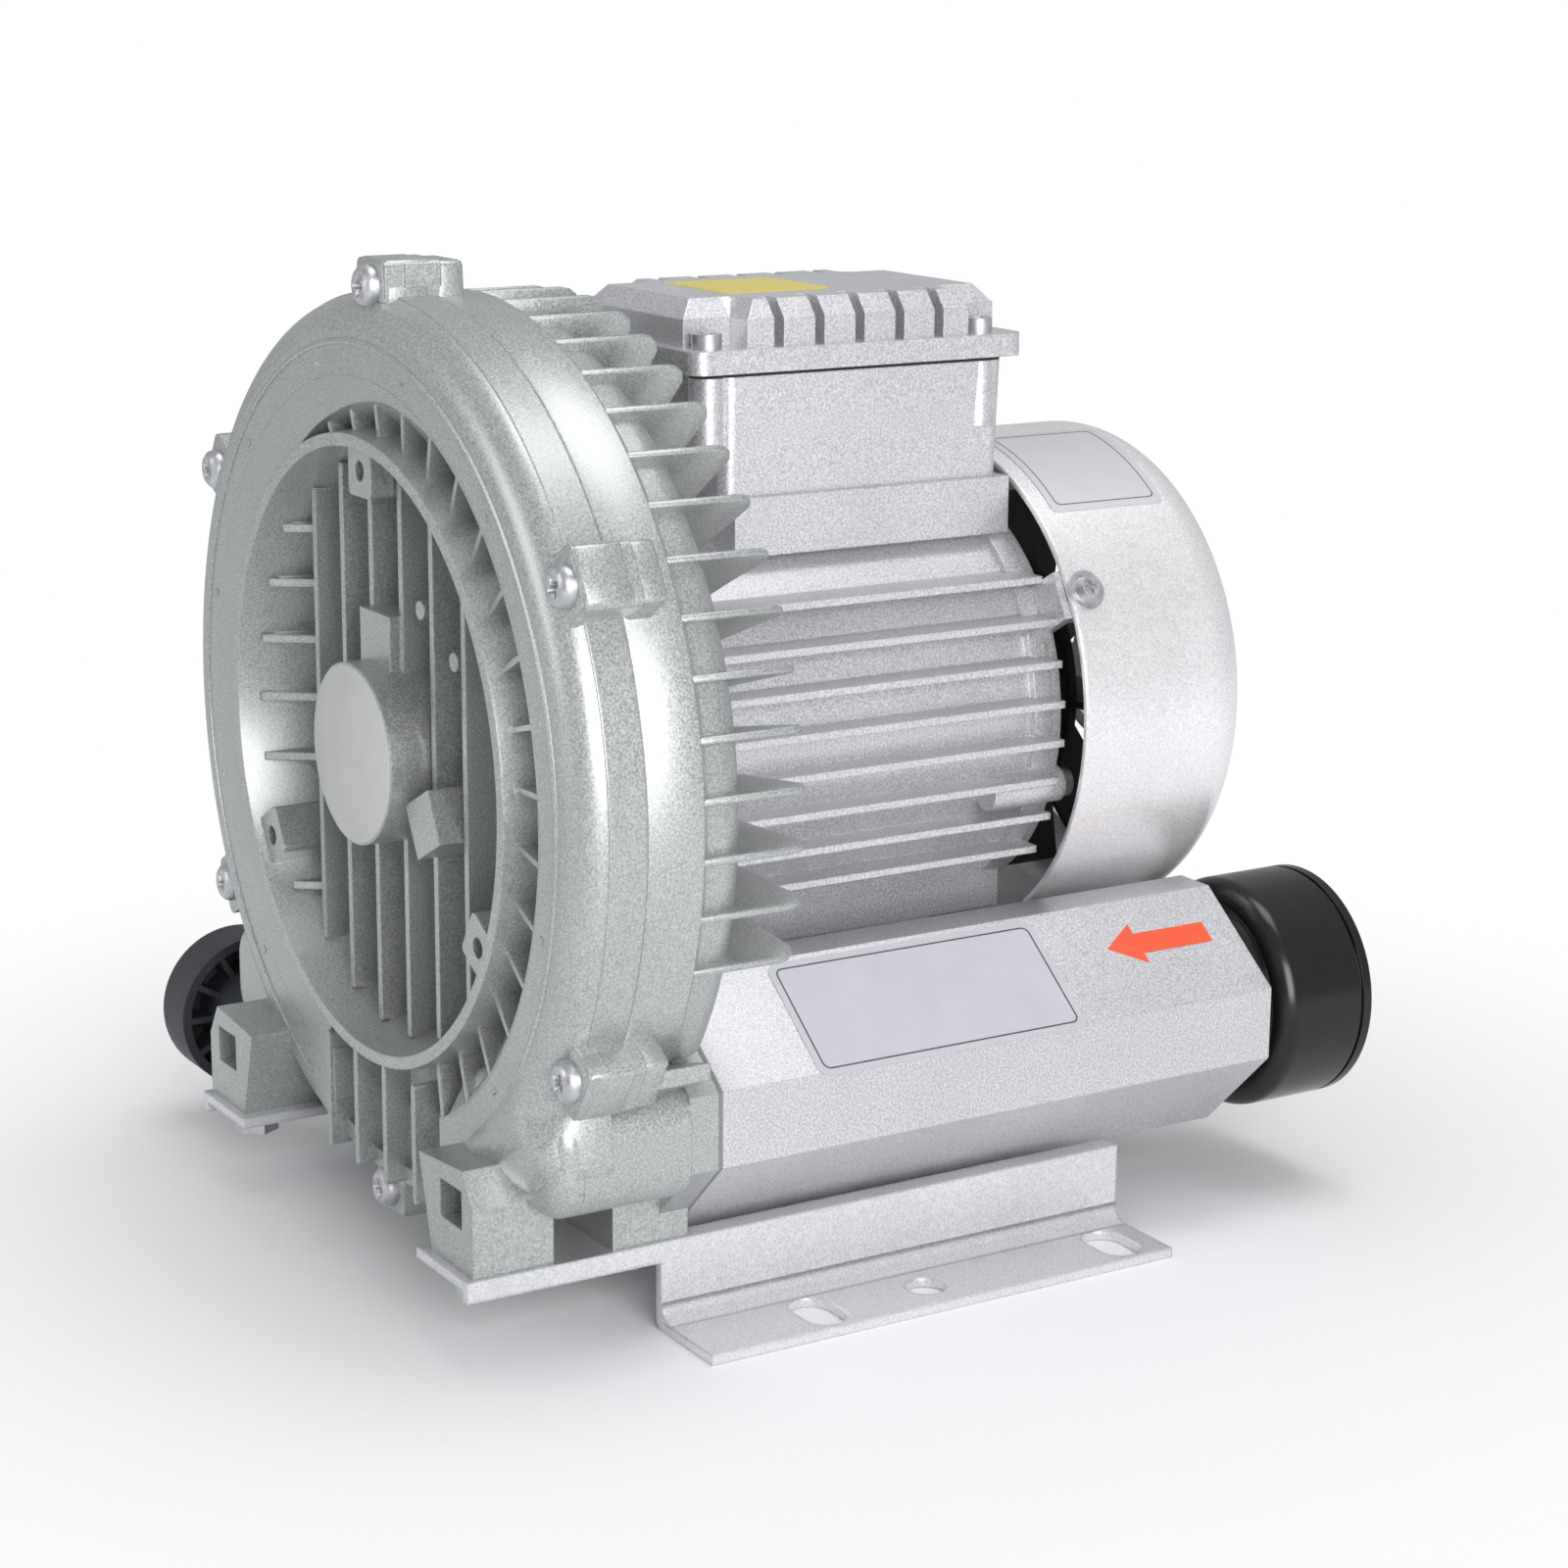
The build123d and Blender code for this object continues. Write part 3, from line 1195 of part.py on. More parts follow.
with BuildPart() as terminal_studs:
    with BuildSketch(level(BOX_BASE + BOX_WALL + 6)):
        with Locations((4, BOX_MIDDLE + 3)):
            with GridLocations(11, 13, 3, 2):
                RegularPolygon(3.4, 6)
    extrude(amount=3)
    with BuildSketch(level(BOX_BASE + BOX_WALL + 6)):
        with Locations((4, BOX_MIDDLE + 3)):
            with GridLocations(11, 13, 3, 2):
                Circle(1.9)
    extrude(amount=8)
save(terminal_studs, "terminal_studs")

# Cable gland on the left wall of the box
with BuildPart() as cable_gland:
    with BuildSketch(GLAND_PLANE.offset(GLAND_SEAT)):
        Circle(GLAND_R - SLIP)
    extrude(amount=-9)
    with BuildSketch(GLAND_PLANE.offset(GLAND_SEAT)):
        RegularPolygon(GLAND_HEX_R, 6)
    extrude(amount=5)
    with BuildSketch(GLAND_PLANE.offset(GLAND_SEAT + 5)):
        Circle(GLAND_R - 1.5)
    extrude(amount=10)
    with BuildSketch(GLAND_PLANE.offset(-9)):
        Circle(6.5)
    extrude(amount=40, mode=Mode.SUBTRACT)
save(cable_gland, "cable_gland")

with BuildPart() as gland_nut:
    with BuildSketch(GLAND_PLANE.offset(GLAND_SEAT + 5.4)):
        RegularPolygon(GLAND_HEX_R, 6)
    extrude(amount=8)
    with BuildSketch(GLAND_PLANE.offset(GLAND_SEAT + 13.4)):
        Circle(GLAND_R + 0.5)
    extrude(amount=7, taper=18)
    with BuildSketch(GLAND_PLANE.offset(GLAND_SEAT + 5.4)):
        Circle(GLAND_R - 1.5 + SLIP)
    extrude(amount=10.4, mode=Mode.SUBTRACT)
    with BuildSketch(GLAND_PLANE.offset(GLAND_SEAT + 10)):
        Circle(5.5)
    extrude(amount=20, mode=Mode.SUBTRACT)
save(gland_nut, "gland_nut")

with BuildPart() as gland_seal:
    with BuildSketch(GLAND_PLANE.offset(GLAND_SEAT + 3)):
        Circle(6.5 - SLIP)
        Circle(4, mode=Mode.SUBTRACT)
    extrude(amount=12)
save(gland_seal, "gland_seal")


def silencer_outline(side, inset=0.0):
    """Eight-sided silencer section in a cross-section plane."""
    with BuildSketch(Plane.XY) as outline:
        Polygon(*mirrored(side, SILENCER_OUTLINE), align=None)
        if inset:
            offset(amount=-inset, mode=Mode.REPLACE)
    return outline.sketch


def silencer_box(side):
    """Silencer housing: a closed shell with the port at the front and the fitting at the rear."""
    with BuildSketch(section(SILENCER_START)) as outer:
        add(silencer_outline(side))
    extrude(outer.sketch, amount=SILENCER_START - SILENCER_END)
    with BuildSketch(section(SILENCER_START + SILENCER_WALL)) as inner:
        add(silencer_outline(side, SILENCER_WALL))
    extrude(
        inner.sketch, amount=SILENCER_START + 2 * SILENCER_WALL - SILENCER_END, mode=Mode.SUBTRACT
    )
    port = (side * PORT_X, -PORT_DROP)
    points = [point for point in SILENCER_SCREW_POINTS if point[0] * side > 0]
    with BuildSketch(section(SILENCER_START)) as port_holes:
        with Locations(port):
            Circle(PORT_BORE_R)
        with Locations(*points):
            Circle(SCREW_R + 0.25)
    extrude(port_holes.sketch, amount=-SILENCER_WALL, mode=Mode.SUBTRACT)
    with BuildSketch(section(SILENCER_END)) as fitting_hole:
        with Locations(port):
            Circle(THREAD_R + SLIP)
    extrude(fitting_hole.sketch, amount=SILENCER_WALL, mode=Mode.SUBTRACT)


def silencer_gasket(side):
    """Flat gasket between casing flange and silencer."""
    with BuildSketch(section(SILENCER_START - GASKET)) as sheet:
        Polygon(*mirrored(side, FLANGE_OUTLINE), align=None)
        with Locations((side * PORT_X, -PORT_DROP)):
            Circle(PORT_BORE_R, mode=Mode.SUBTRACT)
        with Locations(*[point for point in SILENCER_SCREW_POINTS if point[0] * side > 0]):
            Circle(SCREW_R + 0.25, mode=Mode.SUBTRACT)
    extrude(sheet.sketch, amount=-GASKET)


def silencer_foam(side):
    """Foam lining inside the silencer."""
    with BuildSketch(section(SILENCER_START + 12)) as lining:
        add(silencer_outline(side, SILENCER_WALL + SLIP))
        with Locations((side * PORT_X, -PORT_DROP)):
            Circle(THREAD_R, mode=Mode.SUBTRACT)
    extrude(lining.sketch, amount=SILENCER_START + 12 - SILENCER_END + SILENCER_WALL + 9)


def hose_fitting(side):
    """Turned hose fitting with a threaded stub at the front."""
    with BuildSketch(AXIAL) as outline:
        with BuildLine():
            Polyline(
                (FITTING_STUB_BORE_R, SILENCER_END - 8),
                (THREAD_R, SILENCER_END - 8),
                (THREAD_R, SILENCER_END),
                (FITTING_NECK_R, SILENCER_END),
                (FITTING_NECK_R, SILENCER_END + 7),
            )
            TangentArc(
                (FITTING_NECK_R, SILENCER_END + 7), (FITTING_R, SILENCER_END + 12), tangent=(1, 0)
            )
            Polyline(
                (FITTING_R, SILENCER_END + 12),
                (FITTING_R, FITTING_RIM_START - 1),
                (FITTING_R - FITTING_GROOVE, FITTING_RIM_START - 0.5),
                (FITTING_R - FITTING_GROOVE, FITTING_RIM_START),
                (FITTING_R, FITTING_RIM_START),
                (FITTING_R, SILENCER_END + FITTING_LENGTH),
                (FITTING_BORE_R, SILENCER_END + FITTING_LENGTH),
                (FITTING_BORE_R, SILENCER_END + 12),
                (FITTING_STUB_BORE_R, SILENCER_END + 7),
                (FITTING_STUB_BORE_R, SILENCER_END - 8),
            )
        make_face()
    turned_fitting = revolve(outline.sketch, axis=SPIN, mode=Mode.PRIVATE)
    add(turned_fitting.moved(Location((side * PORT_X, 0, -PORT_DROP))))


# Silencers on both ports, each with gasket, screws, foam lining and hose fitting
with BuildPart() as silencer_right:
    silencer_box(1)
save(silencer_right, "silencer_right")

with BuildPart() as silencer_left:
    silencer_box(-1)
save(silencer_left, "silencer_left")

with BuildPart() as silencer_gasket_right:
    silencer_gasket(1)
save(silencer_gasket_right, "silencer_gasket_right")

with BuildPart() as silencer_gasket_left:
    silencer_gasket(-1)
save(silencer_gasket_left, "silencer_gasket_left")

with BuildPart() as silencer_foam_right:
    silencer_foam(1)
save(silencer_foam_right, "silencer_foam_right")

with BuildPart() as silencer_foam_left:
    silencer_foam(-1)
save(silencer_foam_left, "silencer_foam_left")

with BuildPart() as silencer_screws:
    screws(
        section(SILENCER_START + SILENCER_WALL), SILENCER_SCREW_POINTS, -1, SCREW_R - SLIP, 11, 4.25, 5, 2.3
    )
save(silencer_screws, "silencer_screws")

with BuildPart() as right_fitting:
    hose_fitting(1)
save(right_fitting, "right_fitting")

with BuildPart() as left_fitting:
    hose_fitting(-1)
save(left_fitting, "left_fitting")


def foot_rail(side):
    """Folded sheet rail: slotted flange, web, top lip and front tongue."""
    with BuildSketch(section(RAIL_START)) as channel:
        Polygon(*mirrored(side, RAIL_OUTLINE), align=None)
    extrude(channel.sketch, amount=RAIL_START - RAIL_END)
    with BuildSketch(level(-FOOT_TOP - RAIL_THICK)) as lip:
        with Locations((side * (RAIL_FACE_X - 2.75), (RAIL_START + 7 + RAIL_END) / 2)):
            Rectangle(5.5, RAIL_END - RAIL_START - 7)
    extrude(lip.sketch, amount=RAIL_THICK)
    with BuildSketch(level(-FOOT_TOP - RAIL_THICK)) as tongue:
        with Locations((side * (RAIL_FACE_X - TONGUE_WIDTH / 2), (RAIL_START + 7 - TONGUE_FRONT) / 2)):
            Rectangle(TONGUE_WIDTH, RAIL_START + 7 + TONGUE_FRONT)
    extrude(tongue.sketch, amount=RAIL_THICK)
    with BuildSketch(section(-TONGUE_FRONT)) as turned_edge:
        with Locations((side * (RAIL_FACE_X - RAIL_THICK / 2), -FOOT_TOP - RAIL_THICK)):
            Rectangle(RAIL_THICK, 2 * RAIL_THICK)
    extrude(turned_edge.sketch, amount=-TONGUE_FRONT - RAIL_START)
    with BuildSketch(level(-AXIS_HEIGHT)) as slots:
        with Locations(
            (side * SLOT_SPACING_X / 2, SLOT_MIDDLE - SLOT_SPACING_Y / 2),
            (side * SLOT_SPACING_X / 2, SLOT_MIDDLE + SLOT_SPACING_Y / 2),
        ):
            SlotOverall(SLOT_LENGTH, SLOT_WIDTH)
        with Locations((side * SLOT_SPACING_X / 2, SLOT_MIDDLE - 12)):
            Circle(MIDDLE_HOLE_R)
    extrude(slots.sketch, amount=RAIL_THICK, mode=Mode.SUBTRACT)
    for station in FOOT_BOLT_STATIONS:
        foot_bolt_holes(station)


# Foot rails with slots, and the bolts that hold them from below
with BuildPart() as foot_rail_right:
    foot_rail(1)
save(foot_rail_right, "foot_rail_right")

with BuildPart() as foot_rail_left:
    foot_rail(-1)
save(foot_rail_left, "foot_rail_left")

with BuildPart() as foot_washers:
    rings(level(-FOOT_TOP - RAIL_THICK), FOOT_BOLT_POINTS, FOOT_BOLT_R + 0.3, 6.2, -1.6)
save(foot_washers, "foot_washers")

with BuildPart() as foot_bolts:
    screws(level(-FOOT_TOP - RAIL_THICK - 1.6), FOOT_BOLT_POINTS, -1, FOOT_BOLT_R - SLIP, 12.5, 5.8, 4)
save(foot_bolts, "foot_bolts")

# Screw cap of the closed side port, turned about an axis along X
with BuildPart() as side_port_cap:
    with BuildSketch(CAP_PLANE):
        Circle(CAP_R)
    extrude(amount=CAP_BAND)
    with BuildSketch(CAP_PLANE):
        Circle(CAP_R - 2.5)
    extrude(amount=CAP_BAND - 5, mode=Mode.SUBTRACT)
    with BuildSketch(CAP_PLANE.offset(-CAP_STAND)):
        Circle(CAP_NECK_R)
    extrude(amount=CAP_STAND + CAP_BAND - 4)
    with BuildSketch(CAP_PLANE):
        with PolarLocations((CAP_R + CAP_NECK_R) / 2 - 1.5, 12):
            Rectangle(CAP_R - CAP_NECK_R, 1.6)
    extrude(amount=CAP_BAND - 4)
    with BuildSketch(CAP_PLANE.offset(2)):
        with Locations((0, CAP_R + 1)):
            Rectangle(7, 5)
    extrude(amount=CAP_BAND - 4)
save(side_port_cap, "side_port_cap")
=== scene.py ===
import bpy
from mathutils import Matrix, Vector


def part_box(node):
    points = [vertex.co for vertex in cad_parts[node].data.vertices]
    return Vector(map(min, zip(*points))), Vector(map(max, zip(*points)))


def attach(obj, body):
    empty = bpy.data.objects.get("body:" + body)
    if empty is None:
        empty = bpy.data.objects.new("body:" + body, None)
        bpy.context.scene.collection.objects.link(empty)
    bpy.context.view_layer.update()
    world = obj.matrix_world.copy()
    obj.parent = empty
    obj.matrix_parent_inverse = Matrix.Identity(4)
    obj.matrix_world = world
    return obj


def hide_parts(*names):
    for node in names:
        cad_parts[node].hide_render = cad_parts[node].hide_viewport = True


bl_info = {
    "name": "Side Channel Blower",
    "version": (1, 0, 0),
    "blender": (4, 5, 0),
    "location": "View3D > Sidebar > Blower",
    "description": "Dresses the packed model of a side channel blower with finishes, labels and a studio",
    "category": "Object",
}

from math import cos, pi, radians, sin, sqrt

import bmesh
import bpy
from bpy.props import FloatProperty, FloatVectorProperty, IntProperty, PointerProperty
from bpy.types import Operator, Panel, PropertyGroup
from mathutils import Matrix, Vector

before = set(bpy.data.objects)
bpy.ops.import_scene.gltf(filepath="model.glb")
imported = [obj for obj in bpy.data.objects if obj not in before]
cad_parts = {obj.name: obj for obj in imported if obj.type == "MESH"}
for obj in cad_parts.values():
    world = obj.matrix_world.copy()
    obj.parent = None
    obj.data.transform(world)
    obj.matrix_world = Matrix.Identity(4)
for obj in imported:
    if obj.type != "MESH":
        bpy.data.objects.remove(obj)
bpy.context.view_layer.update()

MM = 0.001

# Stations in millimetres behind the parting plane, radii in millimetres about the shaft
FACE = -9.05
FACE_BACK = -1.0
LUG_FRONT = -5.15
SCREW_CIRCLE = 108.0
SCREW_COUNT = 6
DOME_START = 97.5
DOME_DEPTH = 8.5

REPEAT = "Repeat round the shaft"


def centre_of(node):
    """Middle of a node's box."""
    low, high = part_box(node)
    return (low + high) / 2


AXIS_HEIGHT = centre_of("fan_cowl").z
COWL_RADIUS = (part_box("fan_cowl")[1].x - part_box("fan_cowl")[0].x) / 2
LID_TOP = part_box("terminal_box_lid")[1].z
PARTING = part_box("impeller_casing")[0].y


class BlowerFinish(PropertyGroup):
    """Colours of the finishes."""

    cover_paint: FloatVectorProperty(
        name="Cover paint", description="Silver grey of cover and casing",
        default=(0.48, 0.495, 0.49), subtype="COLOR", min=0, max=1,
    )
    motor_paint: FloatVectorProperty(
        name="Motor paint", description="Silver grey of motor frame, terminal box and end shield",
        default=(0.68, 0.675, 0.695), subtype="COLOR", min=0, max=1,
    )
    silencer_paint: FloatVectorProperty(
        name="Silencer paint", description="Silver grey of the silencer housings",
        default=(0.66, 0.655, 0.68), subtype="COLOR", min=0, max=1,
    )
    cowl_paint: FloatVectorProperty(
        name="Cowl paint", description="Bright silver of the fan cowl",
        default=(0.92, 0.91, 0.93), subtype="COLOR", min=0, max=1,
    )
    sheet_paint: FloatVectorProperty(
        name="Sheet paint", description="Silver of the foot rails",
        default=(0.76, 0.755, 0.775), subtype="COLOR", min=0, max=1,
    )
    grain: FloatProperty(
        name="Grain", description="Strength of the sparkle in the paint",
        default=0.22, min=0, max=1, subtype="FACTOR",
    )
    fitting: FloatVectorProperty(
        name="Fittings", description="Glossy plastic of the hose fittings",
        default=(0.006, 0.006, 0.006), subtype="COLOR", min=0, max=1,
    )
    cap: FloatVectorProperty(
        name="Cap and gland", description="Matte plastic of the port cap and the cable gland",
        default=(0.030, 0.034, 0.040), subtype="COLOR", min=0, max=1,
    )
    copper: FloatVectorProperty(
        name="Winding", description="Enamelled wire",
        default=(0.48, 0.17, 0.06), subtype="COLOR", min=0, max=1,
    )


class BlowerMarks(PropertyGroup):
    """Sizes of the plate, the label, the arrow and the patch."""

    plate_start: FloatProperty(
        name="Plate start", description="Angle on the cowl where the plate begins",
        default=radians(50), subtype="ANGLE",
    )
    plate_end: FloatProperty(
        name="Plate end", description="Angle on the cowl where the plate ends",
        default=radians(82), subtype="ANGLE",
    )
    plate_width: FloatProperty(
        name="Plate width", description="Width along the shaft", default=34 * MM, unit="LENGTH"
    )
    label_length: FloatProperty(
        name="Label length", description="Length along the silencer", default=75 * MM, unit="LENGTH"
    )
    label_width: FloatProperty(
        name="Label width", description="Width across the slope", default=32.5 * MM, unit="LENGTH"
    )
    arrow_length: FloatProperty(
        name="Arrow length", description="Tip to tail", default=30.6 * MM, unit="LENGTH"
    )
    arrow_width: FloatProperty(
        name="Arrow width", description="Width across the barbs", default=12 * MM, unit="LENGTH"
    )
    patch_size: FloatProperty(
        name="Patch size", description="Side of the yellow patch on the lid", default=30 * MM, unit="LENGTH"
    )


class BlowerCastings(PropertyGroup):
    """Sizes of the cast details that the dressed cover and casing have."""

    flange_radius: FloatProperty(
        name="Flange radius", description="Outside of the flange of cover and casing",
        default=106.2 * MM, unit="LENGTH",
    )
    joint_station: FloatProperty(
        name="Joint station", description="Distance of the joint line from the parting plane",
        default=7.3 * MM, unit="LENGTH",
    )
    fin_count: IntProperty(
        name="Fins", description="Cooling fins round the casing", default=31, min=3, max=60
    )
    fin_step: FloatProperty(
        name="Fin step", description="Angle between two fins", default=radians(7.2), subtype="ANGLE"
    )
    lug_width: FloatProperty(
        name="Lug width", description="Across a screw lug", default=15.3 * MM, unit="LENGTH"
    )
    screw_radius: FloatProperty(
        name="Screw head radius", description="Pan heads of the cover screws", default=4.9 * MM, unit="LENGTH"
    )
    mark_count: IntProperty(
        name="Casting marks", description="Small raised pads round the cover face", default=12, min=3, max=48
    )


class BlowerStudio(PropertyGroup):
    """Camera and light."""

    azimuth: FloatProperty(
        name="Azimuth", description="Camera angle round the object", default=radians(58.46), subtype="ANGLE"
    )
    elevation: FloatProperty(
        name="Elevation", description="Camera angle above the floor", default=radians(13.75), subtype="ANGLE"
    )
    roll: FloatProperty(name="Roll", description="Camera roll", default=radians(0.38), subtype="ANGLE")
    distance: FloatProperty(
        name="Distance", description="Camera to its target", default=831.8 * MM, unit="LENGTH"
    )
    target: FloatVectorProperty(
        name="Target", description="Point that the camera looks at",
        default=(25.3 * MM, -13.0 * MM, 110.6 * MM), subtype="TRANSLATION",
    )
    focal_length: FloatProperty(name="Focal length", description="In millimetres", default=78.66)
    key_power: FloatProperty(
        name="Key light", description="Power of the key light", default=22.0, subtype="POWER"
    )
    floor_colour: FloatVectorProperty(
        name="Floor", description="Plain pale floor",
        default=(0.86, 0.87, 0.88), subtype="COLOR", min=0, max=1,
    )


# Shader helpers


def new_material(name):
    """Empty node material with a principled shader."""
    material = bpy.data.materials.new(name)
    material.use_nodes = True
    tree = material.node_tree
    tree.nodes.clear()
    shader = tree.nodes.new("ShaderNodeBsdfPrincipled")
    output = tree.nodes.new("ShaderNodeOutputMaterial")
    tree.links.new(shader.outputs["BSDF"], output.inputs["Surface"])
    return material, tree, shader


def object_coordinates(tree, stretch=(1, 1, 1)):
    """Object coordinates, scaled."""
    coordinates = tree.nodes.new("ShaderNodeTexCoord")
    mapping = tree.nodes.new("ShaderNodeMapping")
    mapping.inputs["Scale"].default_value = stretch
    tree.links.new(coordinates.outputs["Object"], mapping.inputs["Vector"])
    return mapping.outputs["Vector"]


def noise(tree, vector, scale, detail=2.0):
    """Noise value."""
    node = tree.nodes.new("ShaderNodeTexNoise")
    node.inputs["Scale"].default_value = scale
    node.inputs["Detail"].default_value = detail
    tree.links.new(vector, node.inputs["Vector"])
    return node.outputs["Fac"]


def ramp(tree, factor, low, high, start, end):
    """Colour between two colours by a factor."""
    node = tree.nodes.new("ShaderNodeValToRGB")
    first, last = node.color_ramp.elements
    first.position, last.position = start, end
    first.color, last.color = (*low, 1), (*high, 1)
    tree.links.new(factor, node.inputs["Fac"])
    return node.outputs["Color"]


def bump(tree, shader, height, strength, distance):
    """Bump from a height, after any bump that is already there."""
    node = tree.nodes.new("ShaderNodeBump")
    node.inputs["Strength"].default_value = strength
    node.inputs["Distance"].default_value = distance
    tree.links.new(height, node.inputs["Height"])
    if shader.inputs["Normal"].is_linked:
        tree.links.new(shader.inputs["Normal"].links[0].from_socket, node.inputs["Normal"])
    tree.links.new(node.outputs["Normal"], shader.inputs["Normal"])


def soft_edges(tree, shader, radius):
    """Rounded look for the small edges of a casting."""
    node = tree.nodes.new("ShaderNodeBevel")
    node.samples = 4
    node.inputs["Radius"].default_value = radius
    tree.links.new(node.outputs["Normal"], shader.inputs["Normal"])


def grey(value):
    """Neutral colour."""
    return (value, value, value)


def tint(tree, factor, low, high, start, end, socket):
    """Ramp between two colours into a socket of the shader."""
    tree.links.new(ramp(tree, factor, low, high, start, end), socket)


def shade(colour, factor):
    """Colour times a factor."""
    return tuple(min(1.0, channel * factor) for channel in colour[:3])


# Materials


def metallic_paint(name, colour, grain, cast=True):
    """Silver paint: fine sparkle, broad cloudiness, and on a casting a slight orange peel."""
    material, tree, shader = new_material(name)
    vector = object_coordinates(tree)
    sparkle = noise(tree, vector, 1900, 1.0)
    cloud = noise(tree, vector, 28, 3.0)
    fine = ramp(tree, sparkle, shade(colour, 1 - grain), shade(colour, 1 + grain), 0.3, 0.7)
    broad = ramp(tree, cloud, grey(0.94), grey(1.0), 0.35, 0.65)
    mix = tree.nodes.new("ShaderNodeMix")
    mix.data_type = "RGBA"
    mix.blend_type = "MULTIPLY"
    mix.inputs["Factor"].default_value = 1.0
    tree.links.new(fine, mix.inputs["A"])
    tree.links.new(broad, mix.inputs["B"])
    tree.links.new(mix.outputs["Result"], shader.inputs["Base Color"])
    tint(tree, sparkle, grey(0.30), grey(0.46), 0.3, 0.7, shader.inputs["Roughness"])
    shader.inputs["Metallic"].default_value = 0.68
    soft_edges(tree, shader, 0.5 * MM if cast else 1.2 * MM)
    bump(tree, shader, sparkle, 0.35 if cast else 0.15, 0.05 * MM)
    if cast:
        bump(tree, shader, noise(tree, vector, 260), 0.25, 0.1 * MM)
    return material


def bare_metal(name, colour, roughness, streak=(1, 1, 1), scale=900):
    """Bare metal with fine marks, stretched along the way it was machined."""
    material, tree, shader = new_material(name)
    vector = object_coordinates(tree, streak)
    marks = noise(tree, vector, scale, 3.0)
    tint(tree, marks, shade(colour, 0.86), shade(colour, 1.08), 0.3, 0.7, shader.inputs["Base Color"])
    tint(tree, marks, grey(roughness * 0.8), grey(roughness * 1.25), 0.3, 0.7, shader.inputs["Roughness"])
    shader.inputs["Metallic"].default_value = 1.0
    soft_edges(tree, shader, 0.2 * MM)
    bump(tree, shader, marks, 0.1, 0.03 * MM)
    return material


def banded(name, colour, pitch, metallic, roughness):
    """Stack or winding: fine lines across the shaft."""
    material, tree, shader = new_material(name)
    vector = object_coordinates(tree)
    wave = tree.nodes.new("ShaderNodeTexWave")
    wave.bands_direction = "Y"
    wave.inputs["Scale"].default_value = 0.314 / pitch
    wave.inputs["Distortion"].default_value = 0.6
    tree.links.new(vector, wave.inputs["Vector"])
    tint(tree, wave.outputs["Fac"], shade(colour, 0.6), colour, 0.0, 1.0, shader.inputs["Base Color"])
    shader.inputs["Metallic"].default_value = metallic
    shader.inputs["Roughness"].default_value = roughness
    bump(tree, shader, wave.outputs["Fac"], 0.5, 0.1 * MM)
    return material


def plastic(name, colour, roughness, grain_scale=1400):
    """Moulded plastic or rubber with a faint grain."""
    material, tree, shader = new_material(name)
    vector = object_coordinates(tree)
    grain = noise(tree, vector, grain_scale)
    tint(tree, grain, shade(colour, 0.85), shade(colour, 1.15), 0.3, 0.7, shader.inputs["Base Color"])
    wear = noise(tree, vector, 60)
    tint(tree, wear, grey(roughness * 0.9), grey(roughness * 1.15), 0.3, 0.7, shader.inputs["Roughness"])
    soft_edges(tree, shader, 0.4 * MM)
    bump(tree, shader, grain, 0.12, 0.04 * MM)
    return material


def open_foam(name, colour):
    """Open-cell foam."""
    material, tree, shader = new_material(name)
    cells = tree.nodes.new("ShaderNodeTexVoronoi")
    cells.inputs["Scale"].default_value = 700
    tree.links.new(object_coordinates(tree), cells.inputs["Vector"])
    distance = cells.outputs["Distance"]
    tint(tree, distance, shade(colour, 0.4), shade(colour, 1.3), 0.1, 0.6, shader.inputs["Base Color"])
    shader.inputs["Roughness"].default_value = 0.95
    bump(tree, shader, distance, 0.8, 0.4 * MM)
    return material


def print_ink(name, colour, roughness=0.4):
    """Printed or sheet material of a label, with slight handling marks."""
    material, tree, shader = new_material(name)
    marks = noise(tree, object_coordinates(tree), 90, 4.0)
    tint(tree, marks, shade(colour, 0.95), colour, 0.35, 0.65, shader.inputs["Base Color"])
    shader.inputs["Roughness"].default_value = roughness
    shader.inputs["Coat Weight"].default_value = 0.3
    shader.inputs["Coat Roughness"].default_value = 0.15
    return material


def paint_nodes(material, *nodes):
    """Give CAD nodes a material."""
    for node in nodes:
        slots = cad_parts[node].data.materials
        slots.clear()
        slots.append(material)


# Mesh helpers


def loose_piece(name, vertices, faces, material):
    """Closed mesh object whose faces point outwards."""
    mesh = bpy.data.meshes.new(name)
    mesh.from_pydata([tuple(vertex) for vertex in vertices], [], faces)
    edit = bmesh.new()
    edit.from_mesh(mesh)
    bmesh.ops.remove_doubles(edit, verts=edit.verts, dist=0.001 * MM)
    bmesh.ops.recalc_face_normals(edit, faces=edit.faces)
    edit.to_mesh(mesh)
    edit.free()
    mesh.materials.append(material)
    piece = bpy.data.objects.new(name, mesh)
    bpy.context.scene.collection.objects.link(piece)
    return piece


def housed(piece, slot="cast_paint"):
    """Let a finished piece ride on the housing."""
    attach(piece, "housing")
    return piece


def new_piece(name, vertices, faces, material, slot="cast_paint"):
    """Mesh object at the origin that rides on the housing."""
    return housed(loose_piece(name, vertices, faces, material), slot)


def smooth(piece, angle=35):
    """Smooth shading up to an angle."""
    mesh = piece.data
    mesh.polygons.foreach_set("use_smooth", [True] * len(mesh.polygons))
    mesh.set_sharp_from_angle(angle=radians(angle))
    return piece


def bake(piece):
    """Turn the evaluated object into a plain mesh without modifiers."""
    graph = bpy.context.evaluated_depsgraph_get()
    mesh = bpy.data.meshes.new_from_object(piece.evaluated_get(graph))
    piece.modifiers.clear()
    piece.data = mesh
    return piece


def bevelled(piece, width, segments=2):
    """Round the edges of a piece by a baked bevel."""
    bevel = piece.modifiers.new("edges", "BEVEL")
    bevel.width = width
    bevel.segments = segments
    bevel.limit_method = "ANGLE"
    bevel.angle_limit = radians(35)
    return bake(piece)


